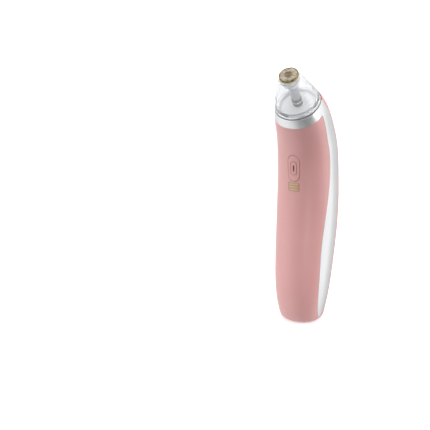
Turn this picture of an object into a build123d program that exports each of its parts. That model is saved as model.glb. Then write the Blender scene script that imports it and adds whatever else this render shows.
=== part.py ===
from build123d import *
import math
import os

# Handheld pore vacuum: a curved grip that stands on a small flat base, with a clear suction head leaning forward.
# Frame: +Z up, -Y is the front with the button, +X is the right side. The origin is the centre of the flat base.
# All lengths are millimetres.

os.makedirs("parts", exist_ok=True)

# ---------------------------------------------------------------- driving dimensions
WALL = 2.0                 # shell wall
SEAM = 0.05                # half of the parting gap between shell pieces
BASE_FILLET = 5.0          # rounding of the bottom edge
EXPONENT = 2.15            # superellipse exponent of every grip section

# grip sections: height, middle y, forward lean in degrees, half width, half depth
SECTIONS = [
    (0.0, 0.0, 0, 13.6, 13.6),
    (5.0, -1.1, 0, 14.6, 14.6),
    (14.0, -1.25, 0, 16.3, 16.6),
    (34.0, 0.1, 0, 18.2, 18.7),
    (58.0, 2.5, 0, 19.2, 19.8),
    (82.0, 3.75, 1, 19.4, 20.0),
    (100.0, 3.2, 5, 19.05, 19.8),
    (117.0, 1.1, 13, 18.65, 19.2),
    (130.0, -3.1, 23, 17.8, 18.0),
    (142.94, -9.94, 33, 16.3, 16.4),
    (147.8, -13.1, 33, 14.9, 14.9),
]

HEAD_Y, HEAD_Z, HEAD_TILT = -13.1, 147.8, 33.0   # centre and forward lean of the head's seating plane
COLLAR_H = 5.8             # height of the collar below the seating plane

# side view of the seam between front shell and side band, and between side band and rear shell
SEAM_TIP = (-3.3, 3.0)
SEAM_FRONT = [(-6.9, 9.2), (-8.5, 16.9), (-9.1, 29.6), (-8.9, 41.8), (-8.3, 53.3), (-6.9, 64.5), (-5.4, 74.9),
              (-3.9, 84.6), (-3.0, 92.7), (-2.65, 99.3), (-2.7, 107.9), (-3.7, 116.4), (-5.6, 124.1), (-8.3, 134.0),
              (-12.0, 143.4)]
SEAM_REAR = [(-1.2, 6.0), (0.5, 10.0), (2.2, 17.0), (4.0, 30.0), (5.2, 42.0), (6.3, 53.0), (7.5, 65.0), (8.3, 75.0),
             (9.0, 85.0), (9.3, 96.0), (8.9, 108.0), (8.0, 116.0), (6.4, 124.0), (3.1, 134.0), (-2.5, 143.4),
             (-8.2, 151.0)]

# head, along its own axis
DOME_BASE_R = 14.6
DOME_TOP_R = 6.9
DOME_TOP_W = 22.6
SKIRT_R = 12.5             # plug of the clear dome
SKIRT_FIT = 0.08           # radial clearance of the plug
TUBE_R = 2.9
TUBE_BORE = 1.6
TIP_R = 6.2
TIP_TOP_W = 25.0
MOUTH_R = 2.6              # suction mouth
TIP_SPIGOT_R = 3.93
TIP_SOCKET_R = 4.0

# button and window on the front
BUTTON_Y, BUTTON_Z, BUTTON_LEAN = -17.1, 106.8, 7.0
BUTTON_W, BUTTON_L = 8.4, 17.6
BUTTON_GAP = 0.14
BUTTON_PROUD = 0.25
WINDOW_Y, WINDOW_Z, WINDOW_LEAN = -16.3, 94.3, 3.0
WINDOW_W, WINDOW_H = 7.8, 5.8

# inside
BOARD_Y0, BOARD_Y1 = -11.6, -10.4      # faces of the main board
PUMP_Y = 1.5                            # the motor and pump axis
MOTOR_R = 11.0
MOTOR_Z0, MOTOR_Z1 = 69.5, 97.0
SHAFT_R = 1.0
CRANK = 0.6                             # offset of the eccentric, half the diaphragm stroke
DIAPHRAGM_Z = 105.0
BATTERY_Y = 1.5
BATTERY_R = 7.0
BATTERY_Z0, BATTERY_Z1 = 15.5, 63.5
PORT_Y = 2.0                            # middle of the charging port
WIRE_R = 0.5
HOSE_R, HOSE_BORE = 2.5, 1.42

# ---------------------------------------------------------------- helpers
N = Vector(0, -math.sin(math.radians(HEAD_TILT)), math.cos(math.radians(HEAD_TILT)))
HEAD = Plane(origin=(0, HEAD_Y, HEAD_Z), x_dir=(1, 0, 0), z_dir=N)
BOTTOM = (Align.CENTER, Align.CENTER, Align.MIN)


def section(z, y, lean, ax, ay, off):
    t = math.radians(lean)
    pts = []
    for i in range(16):
        a = 2 * math.pi * i / 16
        s, c = math.sin(a), math.cos(a)
        px = math.copysign(abs(s) ** (2 / EXPONENT), s) * (ax - off)
        q = -math.copysign(abs(c) ** (2 / EXPONENT), c) * (ay - off)
        pts.append(Vector(px, y + q * math.cos(t), z + q * math.sin(t)))
    return Wire([Edge.make_spline(pts, periodic=True)])


def grip(off):
    """The solid grip, its surface moved inwards by off."""
    return Solid.make_loft([section(*s, off) for s in SECTIONS])


def box(x0, x1, y0, y1, z0, z1):
    return Pos((x0 + x1) / 2, (y0 + y1) / 2, (z0 + z1) / 2) * Box(x1 - x0, y1 - y0, z1 - z0)


def rod(r, z0, z1, x=0.0, y=0.0):
    return Pos(x, y, z0) * Cylinder(r, z1 - z0, align=BOTTOM)


def rod_y(r, y0, y1, x, z):
    """Cylinder along +Y from y0 to y1."""
    return Pos(x, y0, z) * Rot(-90, 0, 0) * Cylinder(r, y1 - y0, align=BOTTOM)


def turned(*pts):
    """Solid of revolution about the local Z axis, from (radius, height) points."""
    return revolve(Plane.XZ * Polygon(*pts, align=None), Axis.Z)


def on_head(shape):
    return HEAD.location * shape


def head_rod(r, w0, w1):
    return on_head(rod(r, w0, w1))


def head_point(w):
    return Vector(0, HEAD_Y, HEAD_Z) + N * w


def swept(points, radius, r, bore=0.0):
    """Round wire or hose along straight runs joined by tangent arcs."""
    path = FilletPolyline(*points, radius=radius) if len(points) > 2 else Line(*points)
    plane = Plane(origin=path @ 0, z_dir=path % 0)
    body = sweep(plane * Circle(r), path=path)
    if bore:
        body = body - sweep(plane * Circle(bore), path=path)
    return body


def side_zone(curve, shift, front):
    """Everything in front of (or behind) a seam curve in the side view, as a prism across X."""
    far = -60.0 if front else 60.0
    tip = (SEAM_TIP[0] + shift, SEAM_TIP[1])
    low = (-2.6 + shift, -8.0)
    pts = [tip] + [(y + shift, z) for y, z in curve]
    a, b = pts[-2], pts[-1]
    end = (b[0] + (b[0] - a[0]) * 2.0, b[1] + (b[1] - a[1]) * 2.0)
    v = [Vector(0, y, z) for y, z in pts]
    edges = [
        Edge.make_line(Vector(0, far, -8), Vector(0, *low)),
        Edge.make_line(Vector(0, *low), v[0]),
        Edge.make_spline(v),
        Edge.make_line(v[-1], Vector(0, *end)),
        Edge.make_line(Vector(0, *end), Vector(0, far, end[1])),
        Edge.make_line(Vector(0, far, end[1]), Vector(0, far, -8)),
    ]
    face = Face(Wire(edges))
    return extrude(face, amount=40, dir=(1, 0, 0)) + extrude(face, amount=40, dir=(-1, 0, 0))


def above_head_plane(w):
    """Half space beyond height w on the head axis."""
    return on_head(Pos(0, 0, w) * Box(200, 200, 80, align=BOTTOM))


def below_head_plane(w):
    return on_head(Pos(0, 0, w) * Box(400, 400, 400, align=(Align.CENTER, Align.CENTER, Align.MAX)))


PARTS = {}


def keep(name, *shapes):
    """Holds one node: a single solid, or a group of separate solids."""
    solids = []
    for s in shapes:
        solids += list(s.solids())
    PARTS[name] = solids[0] if len(solids) == 1 else Compound(children=solids)
    PARTS[name].label = name


# ---------------------------------------------------------------- grip shells
outer = grip(0.0)
outer = outer.fillet(BASE_FILLET, [outer.edges().sort_by(Axis.Z)[0]])
inner = Part() + grip(WALL) - box(-30, 30, -40, 40, -5, WALL)
inner = inner.fillet(3.0, [inner.edges().sort_by(Axis.Z)[0]])
skin = Part() + outer - inner

front_zone = side_zone(SEAM_FRONT, -SEAM, True)
rear_zone = side_zone(SEAM_REAR, SEAM, False)
band_cut_front = side_zone(SEAM_FRONT, 0.0, True)
band_cut_rear = side_zone(SEAM_REAR, 0.0, False)

button_plane = Plane(
    origin=(0, BUTTON_Y, BUTTON_Z), x_dir=(1, 0, 0),
    z_dir=(0, -math.cos(math.radians(BUTTON_LEAN)), -math.sin(math.radians(BUTTON_LEAN))))
window_plane = Plane(
    origin=(0, WINDOW_Y, WINDOW_Z), x_dir=(1, 0, 0),
    z_dir=(0, -math.cos(math.radians(WINDOW_LEAN)), -math.sin(math.radians(WINDOW_LEAN))))


def pill(plane, width, length, depth=6.0, ahead=3.0):
    return extrude(plane.offset(-depth) * SlotOverall(length, width, rotation=90), amount=depth + ahead)


def plate(plane, width, height, radius, depth=6.0, ahead=3.0):
    return extrude(plane.offset(-depth) * RectangleRounded(width, height, radius), amount=depth + ahead)


# front shell: from the base to the collar, with the openings for the button and the level window
front_shell = skin & front_zone & below_head_plane(-COLLAR_H - SEAM)
front_shell = front_shell - pill(button_plane, BUTTON_W, BUTTON_L)
front_shell = front_shell - plate(window_plane, WINDOW_W, WINDOW_H, 0.9)

# rear shell: from the base up to the seating plane behind the collar, with screw bosses, vents and the charging port
rear_shell = skin & rear_zone & below_head_plane(-0.02)
rear_shell = rear_shell - head_rod(14.06, -COLLAR_H - 0.7, 2.0)
BOSSES = [(8.5, 60.0), (-8.5, 60.0), (6.8, 22.0), (-6.8, 22.0)]
BOSS_Y = 9.0
boss_room = Part() + grip(WALL - 0.5)
for bx, bz in BOSSES:
    rear_shell = rear_shell + (rod_y(2.3, BOSS_Y, 26.0, bx, bz) & boss_room)
for bx, bz in BOSSES:
    rear_shell = rear_shell - rod_y(0.95, BOSS_Y - 1.0, BOSS_Y + 5.0, bx, bz)
for k in range(5):
    rear_shell = rear_shell - rod_y(0.6, 10.0, 30.0, -4.8 + 2.4 * k, 122.0)
port_cut = extrude(Plane.XY.offset(-1) * Pos(0, PORT_Y) * RectangleRounded(9.3, 3.5, 1.7), amount=4.0)
rear_shell = rear_shell - port_cut

# side band and collar: one glossy piece. The collar circles the head seat, and a band runs down each side
collar = (Part() + outer) & above_head_plane(-COLLAR_H)
collar = collar - band_cut_rear - head_rod(13.3, -10, 5)
ring = head_rod(14.0, -COLLAR_H - 0.6, 0.0) - head_rod(13.3, -10, 5)
hollow = Part() + grip(WALL + 1.3)
bands = (Part() + outer) - hollow
bands = bands - band_cut_front - band_cut_rear
bands = bands & below_head_plane(-COLLAR_H + 0.1) & box(-40, 40, -40, 40, 3.2, 170)
flange = (Part() + grip(WALL + 0.12)) - hollow
flange = flange - side_zone(SEAM_FRONT, -2.4, True) - side_zone(SEAM_REAR, 2.4, False)
flange = flange & below_head_plane(-COLLAR_H - 1.2) & box(-40, 40, -40, 40, 9.0, 170)
trim_frame = collar + ring + bands + flange

keep("front_shell", front_shell)
keep("rear_shell", rear_shell)
keep("trim_frame", trim_frame)

# ---------------------------------------------------------------- head seat, fixed in the collar
head_seat = turned(
    (1.0, -9.0), (1.4, -9.0), (1.4, -2.1), (9.4, -2.1), (9.4, -6.6), (12.9, -6.6), (12.9, -5.6), (13.25, -5.6),
    (13.25, -0.05), (SKIRT_R + SKIRT_FIT, -0.05), (SKIRT_R + SKIRT_FIT, -4.7), (11.15, -4.7), (11.15, -0.3),
    (2.0, -0.3), (2.0, 1.8), (1.0, 1.8))
keep("head_seat", on_head(head_seat))
keep("head_gasket", on_head(turned((12.62, 0.01), (14.2, 0.01), (14.2, 0.6), (14.0, 0.8), (12.8, 0.8), (12.62, 0.6))))
sleeve = turned(
    (2.05, -0.28), (3.1, -0.28), (3.2, -0.1), (3.2, 2.4), (2.9, 2.4), (2.9, 2.95), (3.2, 2.95), (3.2, 5.2),
    (3.05, 5.35), (2.36, 5.35), (2.36, 1.9), (2.05, 1.9))
keep("filter_sleeve", on_head(sleeve))
keep("sleeve_band", on_head(turned((2.92, 2.42), (3.28, 2.42), (3.28, 2.93), (2.92, 2.93))))
keep("filter_foam", on_head(rod(2.32, 1.92, 2.8)))

# ---------------------------------------------------------------- suction head, pulled off along its axis
outline = [(DOME_BASE_R, 0.95), (14.33, 2.2), (13.62, 5.0), (12.02, 10.0), (10.2, 15.0), (8.25, 19.8), (DOME_TOP_R, 22.3)]
inside = [(11.3, 1.4), (12.15, 3.6), (11.5, 6.6), (10.55, 10.0), (8.75, 15.0), (7.35, 18.6), (6.3, 20.6)]


def p3(r, w):
    return Vector(r, 0, w)


dome_edges = [
    Edge.make_line(p3(SKIRT_R, 0.85), p3(DOME_BASE_R - 0.1, 0.85)),
    Edge.make_line(p3(DOME_BASE_R - 0.1, 0.85), p3(*outline[0])),
    Edge.make_spline([p3(*q) for q in outline]),
    Edge.make_line(p3(*outline[-1]), p3(DOME_TOP_R - 0.3, DOME_TOP_W)),
    Edge.make_line(p3(DOME_TOP_R - 0.3, DOME_TOP_W), p3(TIP_SOCKET_R, DOME_TOP_W)),
    Edge.make_line(p3(TIP_SOCKET_R, DOME_TOP_W), p3(TIP_SOCKET_R, 19.0)),
    Edge.make_line(p3(TIP_SOCKET_R, 19.0), p3(TUBE_R + 0.05, 19.0)),
    Edge.make_line(p3(TUBE_R + 0.05, 19.0), p3(TUBE_R + 0.01, 16.5)),   # moulding draft
    Edge.make_line(p3(TUBE_R + 0.01, 16.5), p3(5.0, 16.5)),
    Edge.make_line(p3(5.0, 16.5), p3(5.0, 20.6)),
    Edge.make_line(p3(5.0, 20.6), p3(*inside[-1])),
    Edge.make_spline([p3(*q) for q in reversed(inside)]),
    Edge.make_line(p3(*inside[0]), p3(11.3, -4.3)),
    Edge.make_line(p3(11.3, -4.3), p3(SKIRT_R, -4.3)),
    Edge.make_line(p3(SKIRT_R, -4.3), p3(SKIRT_R, -3.1)),
    Edge.make_line(p3(SKIRT_R, -3.1), p3(11.75, -3.1)),
    Edge.make_line(p3(11.75, -3.1), p3(11.75, -1.9)),
    Edge.make_line(p3(11.75, -1.9), p3(SKIRT_R, -1.9)),
    Edge.make_line(p3(SKIRT_R, -1.9), p3(SKIRT_R, 0.85)),
]
head_dome = revolve(Face(Wire(dome_edges)), Axis.Z)
keep("head_dome", on_head(head_dome))
keep("seat_oring", on_head(Pos(0, 0, -2.5) * Torus(12.155, 0.395)))
keep("suction_tube", on_head(turned(
    (TUBE_BORE, 2.95), (2.3, 2.95), (2.3, 5.4), (TUBE_R, 5.4), (TUBE_R, 18.98), (TUBE_BORE, 18.98))))

# changeable tip: plastic base with spigot, metal ring, abrasive face
keep("tip_base", on_head(turned(
    (MOUTH_R, 19.1), (TIP_SPIGOT_R - 0.3, 19.1), (TIP_SPIGOT_R, 19.5), (TIP_SPIGOT_R, 20.4), (3.42, 20.4), (3.42, 21.1),
    (TIP_SPIGOT_R, 21.1), (TIP_SPIGOT_R, 22.65), (6.35, 22.65), (6.6, 22.85), (6.6, 23.2), (6.4, 23.4), (4.6, 23.4),
    (4.6, 24.2), (MOUTH_R, 24.2))))
keep("tip_ring", on_head(turned(
    (4.65, 23.41), (5.95, 23.41), (TIP_R, 24.75), (TIP_R - 0.15, TIP_TOP_W), (5.65, TIP_TOP_W), (5.5, 24.85), (5.5, 24.5),
    (MOUTH_R, 24.5), (MOUTH_R, 24.21), (4.65, 24.21))))
keep("tip_grit", on_head(turned(
    (MOUTH_R, 24.51), (5.46, 24.51), (5.46, 24.8), (4.3, 25.05), (3.0, 25.05), (MOUTH_R, 24.95))))
keep("tip_oring", on_head(Pos(0, 0, 20.75) * Torus(3.69, 0.265)))

# ---------------------------------------------------------------- button and level window
proud = Part() + grip(-BUTTON_PROUD)
behind_wall = Part() + grip(WALL + 0.1)
cap = pill(button_plane, BUTTON_W - 2 * BUTTON_GAP, BUTTON_L - 2 * BUTTON_GAP) & proud
cap = cap - (Part() + grip(WALL + 0.85))
cap_flange = (pill(button_plane, BUTTON_W + 1.7, BUTTON_L + 1.3) & behind_wall) - (Part() + grip(WALL + 0.85))
INLAY_W, INLAY_H, INLAY_T = 4.2, 9.0, 0.9
inlay_pocket = plate(button_plane, INLAY_W, INLAY_H, 1.5, depth=INLAY_T, ahead=3.0)
cap = cap + cap_flange - inlay_pocket
boss = rod_y(1.5, -14.6, -14.0, 0.0, BUTTON_Z + 0.35)
cap = cap + boss
keep("button_cap", cap)
inlay = plate(button_plane, INLAY_W - 0.24, INLAY_H - 0.24, 1.38, depth=INLAY_T - 0.01, ahead=3.0) & (Part() + grip(-0.32))
inlay = inlay - pill(button_plane, 0.9, 4.1)
keep("button_inlay", inlay)
keep("status_light", pill(button_plane, 0.84, 4.04, depth=INLAY_T - 0.02, ahead=3.0) & (Part() + grip(-0.1)))

window = plate(window_plane, WINDOW_W - 0.12, WINDOW_H - 0.12, 0.84) & (Part() + grip(0.12))
window = window - (Part() + grip(WALL + 0.7))
window_tabs = (plate(window_plane, WINDOW_W + 2.2, WINDOW_H - 1.2, 0.5) & behind_wall) - (Part() + grip(WALL + 0.7))
window = window + window_tabs
bar_skin = (Part() + grip(-0.1)) - (Part() + grip(0.3))
for dz in (-1.75, 0.0, 1.75):
    bar_plane = Plane(origin=window_plane.origin + window_plane.y_dir * dz, x_dir=(1, 0, 0), z_dir=window_plane.z_dir)
    window = window + (plate(bar_plane, 6.4, 0.9, 0.44) & bar_skin)
keep("level_window", window)

# ---------------------------------------------------------------- electronics
main_board = box(-9.0, 9.0, BOARD_Y0, BOARD_Y1, 68.6, 118.0)
main_board = main_board - box(-9.1, -6.9, -13, -9, 108.0, 118.1) - box(6.9, 9.1, -13, -9, 108.0, 118.1)
BOARD_SCREWS = [(-7.7, 90.2), (7.7, 90.2), (-7.9, 70.4), (7.9, 70.4)]
for sx, sz in BOARD_SCREWS:
    main_board = main_board - rod_y(0.78, -13, -9, sx, sz)
keep("main_board", main_board)
chips = [
    box(-2.6, 2.6, -12.5, BOARD_Y0, 82.4, 87.4),
    box(-7.0, -4.6, -12.3, BOARD_Y0, 96.0, 99.2),
    box(3.9, 7.2, -12.9, BOARD_Y0, 75.0, 78.3),
    box(-7.2, -5.6, -12.4, BOARD_Y0, 76.0, 79.0),
    box(4.8, 6.4, -12.2, BOARD_Y0, 84.0, 85.0),
    box(4.8, 6.4, -12.2, BOARD_Y0, 86.2, 87.2),
    box(-6.4, -4.8, -12.2, BOARD_Y0, 84.0, 85.0),
    box(-1.6, 1.6, -12.8, BOARD_Y0, 72.4, 75.6),
]
keep("board_components", *chips)
keep("indicator_leds", *[box(-0.9, 0.9, -12.3, BOARD_Y0, z - 0.45, z + 0.45) for z in (92.3, 94.0, 95.7)])
SWITCH_Z = BUTTON_Z + 0.35
switch = box(-3.0, 3.0, -13.35, BOARD_Y0, SWITCH_Z - 3.0, SWITCH_Z + 3.0) - rod_y(1.78, -13.4, -12.5, 0.0, SWITCH_Z)
keep("tact_switch", switch)
keep("switch_plunger", rod_y(1.6, -13.95, -12.95, 0.0, SWITCH_Z))
keep("board_screws", *[
    (rod_y(0.75, BOARD_Y0, -9.0, sx, sz) + rod_y(1.1, BOARD_Y0 - 0.5, BOARD_Y0, sx, sz)) for sx, sz in BOARD_SCREWS])

# charging board with its upright socket, opening through the base
keep("charge_board", box(-7.0, 7.0, -0.6, 0.38, 3.4, 12.4))
keep("charge_components", box(-2.2, 0.2, -1.6, -0.6, 6.0, 9.0), box(1.4, 3.0, -1.4, -0.6, 5.0, 6.0),
     box(-4.8, -3.4, -1.3, -0.6, 5.0, 7.0))
usb_plane = Plane.XY.offset(0.4)
usb_outer = extrude(usb_plane * Pos(0, PORT_Y) * RectangleRounded(8.94, 3.2, 1.55), amount=7.2)
usb_hole = extrude(usb_plane * Pos(0, PORT_Y) * RectangleRounded(8.34, 2.56, 1.25), amount=6.3)
keep("usb_shell", usb_outer - usb_hole)
keep("usb_tongue", box(-3.3, 3.3, PORT_Y - 0.35, PORT_Y + 0.35, 1.3, 6.4)
     + extrude(Plane.XY.offset(5.2) * Pos(0, PORT_Y) * RectangleRounded(8.24, 2.46, 1.2), amount=1.45))

# ---------------------------------------------------------------- battery
cell = Pos(0, BATTERY_Y, 0) * turned(
    (0, BATTERY_Z0), (BATTERY_R - 0.5, BATTERY_Z0), (BATTERY_R, BATTERY_Z0 + 0.5), (BATTERY_R, BATTERY_Z1 - 1.6),
    (BATTERY_R - 0.35, BATTERY_Z1 - 1.2), (BATTERY_R, BATTERY_Z1 - 0.9), (BATTERY_R - 0.4, BATTERY_Z1 - 0.5),
    (2.8, BATTERY_Z1 - 0.5), (2.7, BATTERY_Z1), (0, BATTERY_Z1))
keep("battery_cell", cell)
keep("battery_tabs",
     box(-3.6, 3.6, -5.4, 3.5, BATTERY_Z1, BATTERY_Z1 + 0.25),
     box(-3.6, 3.6, -7.4, 3.5, BATTERY_Z0 - 0.25, BATTERY_Z0))
keep("battery_pad", rod(5.5, 14.1, BATTERY_Z0 - 0.25, y=BATTERY_Y + 1.0))

# ---------------------------------------------------------------- motor, its axis upright
M = Pos(0, PUMP_Y, 0)
can = turned((0, MOTOR_Z0), (MOTOR_R, MOTOR_Z0), (MOTOR_R, MOTOR_Z1 - 0.8), (MOTOR_R - 0.8, MOTOR_Z1), (0, MOTOR_Z1))
can = can - rod(MOTOR_R - 0.8, MOTOR_Z0 - 1, MOTOR_Z1 - 1.0) + (rod(3.0, MOTOR_Z1 - 1.0, MOTOR_Z1 + 1.3))
can = can - rod(2.4, MOTOR_Z1 - 3.0, MOTOR_Z1 + 0.9) - rod(1.3, MOTOR_Z1, MOTOR_Z1 + 3)
for sx in (-6.0, 6.0):
    can = can - rod(1.0, MOTOR_Z1 - 2.0, MOTOR_Z1 + 1.0, x=sx)
keep("motor_can", M * can)
endbell = rod(MOTOR_R - 0.85, MOTOR_Z0, MOTOR_Z0 + 1.6) + rod(3.4, MOTOR_Z0 - 0.8, MOTOR_Z0 + 1.6)
endbell = endbell - rod(2.4, MOTOR_Z0 - 0.4, MOTOR_Z0 + 2.0) - rod(1.3, MOTOR_Z0 - 2.0, MOTOR_Z0)
for sx in (-1, 1):
    endbell = endbell - box(sx * 6.5 - 1.2, sx * 6.5 + 1.2, -2.8, -2.2, MOTOR_Z0 - 1, MOTOR_Z0 + 3)
keep("motor_endbell", M * endbell)
keep("motor_bearings",
     M * (rod(2.38, MOTOR_Z0 - 0.38, MOTOR_Z0 + 1.7) - rod(SHAFT_R + 0.03, 60, 80)),
     M * (rod(2.38, MOTOR_Z1 - 1.6, MOTOR_Z1 + 0.88) - rod(SHAFT_R + 0.03, 90, 100)))
magnet = rod(MOTOR_R - 0.85, 74.5, 92.5) - rod(8.9, 70, 95)
keep("motor_magnets",
     M * (magnet & box(-20, 20, 2.6, 20, 70, 95)),
     M * (magnet & box(-20, 20, -20, -2.6, 70, 95)))
brushes = []
for sx in (-1, 1):
    leaf = box(sx * 6.5 - 1.1, sx * 6.5 + 1.1, -2.75, -2.25, MOTOR_Z0 - 2.2, 73.2)
    arm = box(min(sx * 2.5, sx * 6.5), max(sx * 2.5, sx * 6.5), -2.75, -2.25, 71.8, 73.2)
    tip = box(min(sx * 2.45, sx * 4.0), max(sx * 2.45, sx * 4.0), -2.75, 0.6, 71.8, 73.2)
    brushes.append(M * (leaf + arm + tip))
keep("motor_brushes", *brushes)

# rotor: shaft, laminated core, windings, commutator and the eccentric that works the diaphragm
keep("motor_shaft", M * rod(SHAFT_R, MOTOR_Z0 - 1.6, 107.6))
core = rod(8.5, 77.5, 90.0) - rod(7.2, 70, 95) + rod(3.0, 77.5, 90.0)
coils = []
for k in range(3):
    turn = Rot(0, 0, 120 * k)
    core = core + turn * box(0.0, 7.6, -1.2, 1.2, 77.5, 90.0)
    core = core - Rot(0, 0, 60 + 120 * k) * box(6.0, 9.0, -0.8, 0.8, 77, 91)
    coil = box(3.3, 6.4, -2.7, 2.7, 76.5, 91.0) - box(3.0, 8.0, -1.22, 1.22, 77.48, 90.02)
    coils.append(M * (turn * coil))
core = core - rod(SHAFT_R + 0.01, 70, 95)
keep("armature_core", M * core)
keep("armature_windings", *coils)
keep("commutator", M * (rod(2.4, 71.6, 76.3) - rod(SHAFT_R + 0.01, 70, 78)))
eccentric = rod(2.6, 100.4, 102.6) + (rod(6.2, 100.4, 102.4) & box(-7, -0.4, -7, 7, 100, 103))
eccentric = eccentric + rod(3.0, 102.6, 107.2, x=CRANK) - rod(SHAFT_R + 0.005, 100, 108)
keep("eccentric", M * eccentric)

# ---------------------------------------------------------------- diaphragm pump on top of the motor
RING_BORE = 3.0 + 2 * CRANK + 0.1
housing = rod(MOTOR_R, MOTOR_Z1 + 0.02, 112.0, y=PUMP_Y) + box(-7.6, 7.6, PUMP_Y, 9.5, MOTOR_Z1 + 0.02, 112.0)
housing = housing - box(-20, 20, 9.5, 30, 90, 120)
housing = housing - rod(7.0, 98.5, 112.5, y=PUMP_Y) - rod(3.06, 96, 99, y=PUMP_Y)
housing = housing - rod_y(5.4, PUMP_Y, 9.6, 0.0, DIAPHRAGM_Z)
housing = housing - rod(7.65, 110.6, 113, y=PUMP_Y)
for sx in (-6.0, 6.0):
    housing = housing - rod(1.0, 96, 99, x=sx, y=PUMP_Y) - rod(1.75, 98.0, 99.0, x=sx, y=PUMP_Y)
PUMP_SCREWS = [(sx, DIAPHRAGM_Z + sz) for sx in (-5.95, 5.95) for sz in (-4.95, 4.95)]
for sx, sz in PUMP_SCREWS:
    housing = housing - rod_y(0.9, 6.0, 9.6, sx, sz)
keep("pump_housing", housing)
keep("pump_lid", rod(7.6, 110.65, 112.0, y=PUMP_Y) - rod(2.0, 111.4, 112.5, y=PUMP_Y))
keep("motor_screws", *[
    rod(0.97, 95.6, 98.1, x=sx, y=PUMP_Y) + rod(1.7, 98.02, 98.9, x=sx, y=PUMP_Y) for sx in (-6.0, 6.0)])

conrod = rod(5.5, 103.6, 106.4, y=PUMP_Y) + box(-1.5, 1.5, PUMP_Y + 4, 8.4, 103.6, 106.4)
conrod = conrod + rod_y(2.5, 8.3, 9.2, 0.0, DIAPHRAGM_Z) - rod(RING_BORE, 103, 107, y=PUMP_Y)
keep("connecting_rod", conrod)
diaphragm = rod_y(6.5, 9.52, 10.2, 0.0, DIAPHRAGM_Z) - rod_y(5.1, 9.9, 11, 0.0, DIAPHRAGM_Z)
diaphragm = diaphragm + rod_y(2.4, 9.22, 10.6, 0.0, DIAPHRAGM_Z)
keep("diaphragm", diaphragm)
keep("diaphragm_button", rod_y(2.0, 10.62, 11.2, 0.0, DIAPHRAGM_Z) + rod_y(0.8, 9.3, 10.7, 0.0, DIAPHRAGM_Z))
PARTS["diaphragm"] = (PARTS["diaphragm"] - rod_y(0.82, 9.0, 11.0, 0.0, DIAPHRAGM_Z)).solids()[0]
PARTS["diaphragm"].label = "diaphragm"

NIPPLE_X, NIPPLE_Y = 3.2, 12.9
valve_body = box(-7.6, 7.6, 10.22, 14.6, 98.5, 111.5) - rod_y(5.3, 10.0, 12.9 - 1.1, 0.0, DIAPHRAGM_Z)
for sx in (-NIPPLE_X, NIPPLE_X):
    valve_body = valve_body + rod(1.4, 111.0, 117.0, x=sx, y=NIPPLE_Y)
    valve_body = valve_body - rod(0.7, DIAPHRAGM_Z, 118.0, x=sx, y=NIPPLE_Y)
    valve_body = valve_body - rod_y(0.7, NIPPLE_Y, 15.0, sx, DIAPHRAGM_Z)
for sx, sz in PUMP_SCREWS:
    valve_body = valve_body - rod_y(1.02, 10.0, 15.0, sx, sz)
keep("valve_body", valve_body)
cover = box(-7.2, 7.2, 14.62, 16.4, 98.9, 111.1)
for sx in (-NIPPLE_X, NIPPLE_X):
    cover = cover - rod_y(2.0, 14.5, 15.2, sx, DIAPHRAGM_Z)
for sx, sz in PUMP_SCREWS:
    cover = cover - rod_y(1.02, 14.0, 17.0, sx, sz) - rod_y(1.25, 15.6, 17.0, sx, sz)
keep("pump_cover", cover)
keep("valve_flaps", *[rod_y(1.8, 14.64, 15.0, sx, DIAPHRAGM_Z) for sx in (-NIPPLE_X, NIPPLE_X)])
keep("pump_screws", *[
    rod_y(0.88, 6.8, 15.7, sx, sz) + rod_y(1.2, 15.62, 16.38, sx, sz) for sx, sz in PUMP_SCREWS])

# ---------------------------------------------------------------- air line and exhaust
hose_start = head_point(-2.6)
hose_points = [
    tuple(hose_start), tuple(head_point(-16.0)), (-NIPPLE_X, NIPPLE_Y, 124.5), (-NIPPLE_X, NIPPLE_Y, 112.0)]
keep("suction_hose", swept(hose_points, 8.0, HOSE_R, HOSE_BORE))
muffler = rod(2.4, 112.2, 119.4, x=NIPPLE_X, y=NIPPLE_Y) - rod(1.42, 110, 117.1, x=NIPPLE_X, y=NIPPLE_Y)
keep("exhaust_muffler", muffler)

# ---------------------------------------------------------------- carrier for battery, motor and board
room = Part() + grip(WALL + 1.45)
damper = rod(13.0, 80.0, 89.0, y=PUMP_Y) - rod(MOTOR_R + 0.02, 79, 91, y=PUMP_Y) - box(-20, 20, -20, -9.2, 70, 100)
keep("motor_damper", damper)
carrier = rod(14.6, 79.0, 91.5, y=PUMP_Y) - rod(13.03, 70, 100, y=PUMP_Y)
carrier = carrier + box(-14.6, -7.2, BOARD_Y1 + 0.02, -3.0, 88.0, 91.5) + box(7.2, 14.6, BOARD_Y1 + 0.02, -3.0, 88.0, 91.5)
carrier = carrier - rod(13.03, 70, 100, y=PUMP_Y)
for s in (-1, 1):
    carrier = carrier + box(min(s * 13.1, s * 14.6), max(s * 13.1, s * 14.6), -4.0, 6.0, 65.3, 91.5)
    carrier = carrier + box(min(s * 10.2, s * 11.8), max(s * 10.2, s * 11.8), -4.0, 4.0, 8.0, 66.0)
    carrier = carrier + box(min(s * 7.2, s * 9.4), max(s * 7.2, s * 9.4), BOARD_Y1 + 0.02, -7.0, 65.3, 72.0)
shelf_top = box(-20, 20, -20, 9.6, 65.3, 66.5) - box(-7.1, 7.1, -20, -8.6, 60, 70) - rod(4.2, 60, 70, y=PUMP_Y)
shelf_low = box(-20, 20, -8.4, 9.6, 12.6, 14.1) - rod(3.0, 10, 15, y=BATTERY_Y)
carrier = carrier + shelf_top + shelf_low
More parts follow.
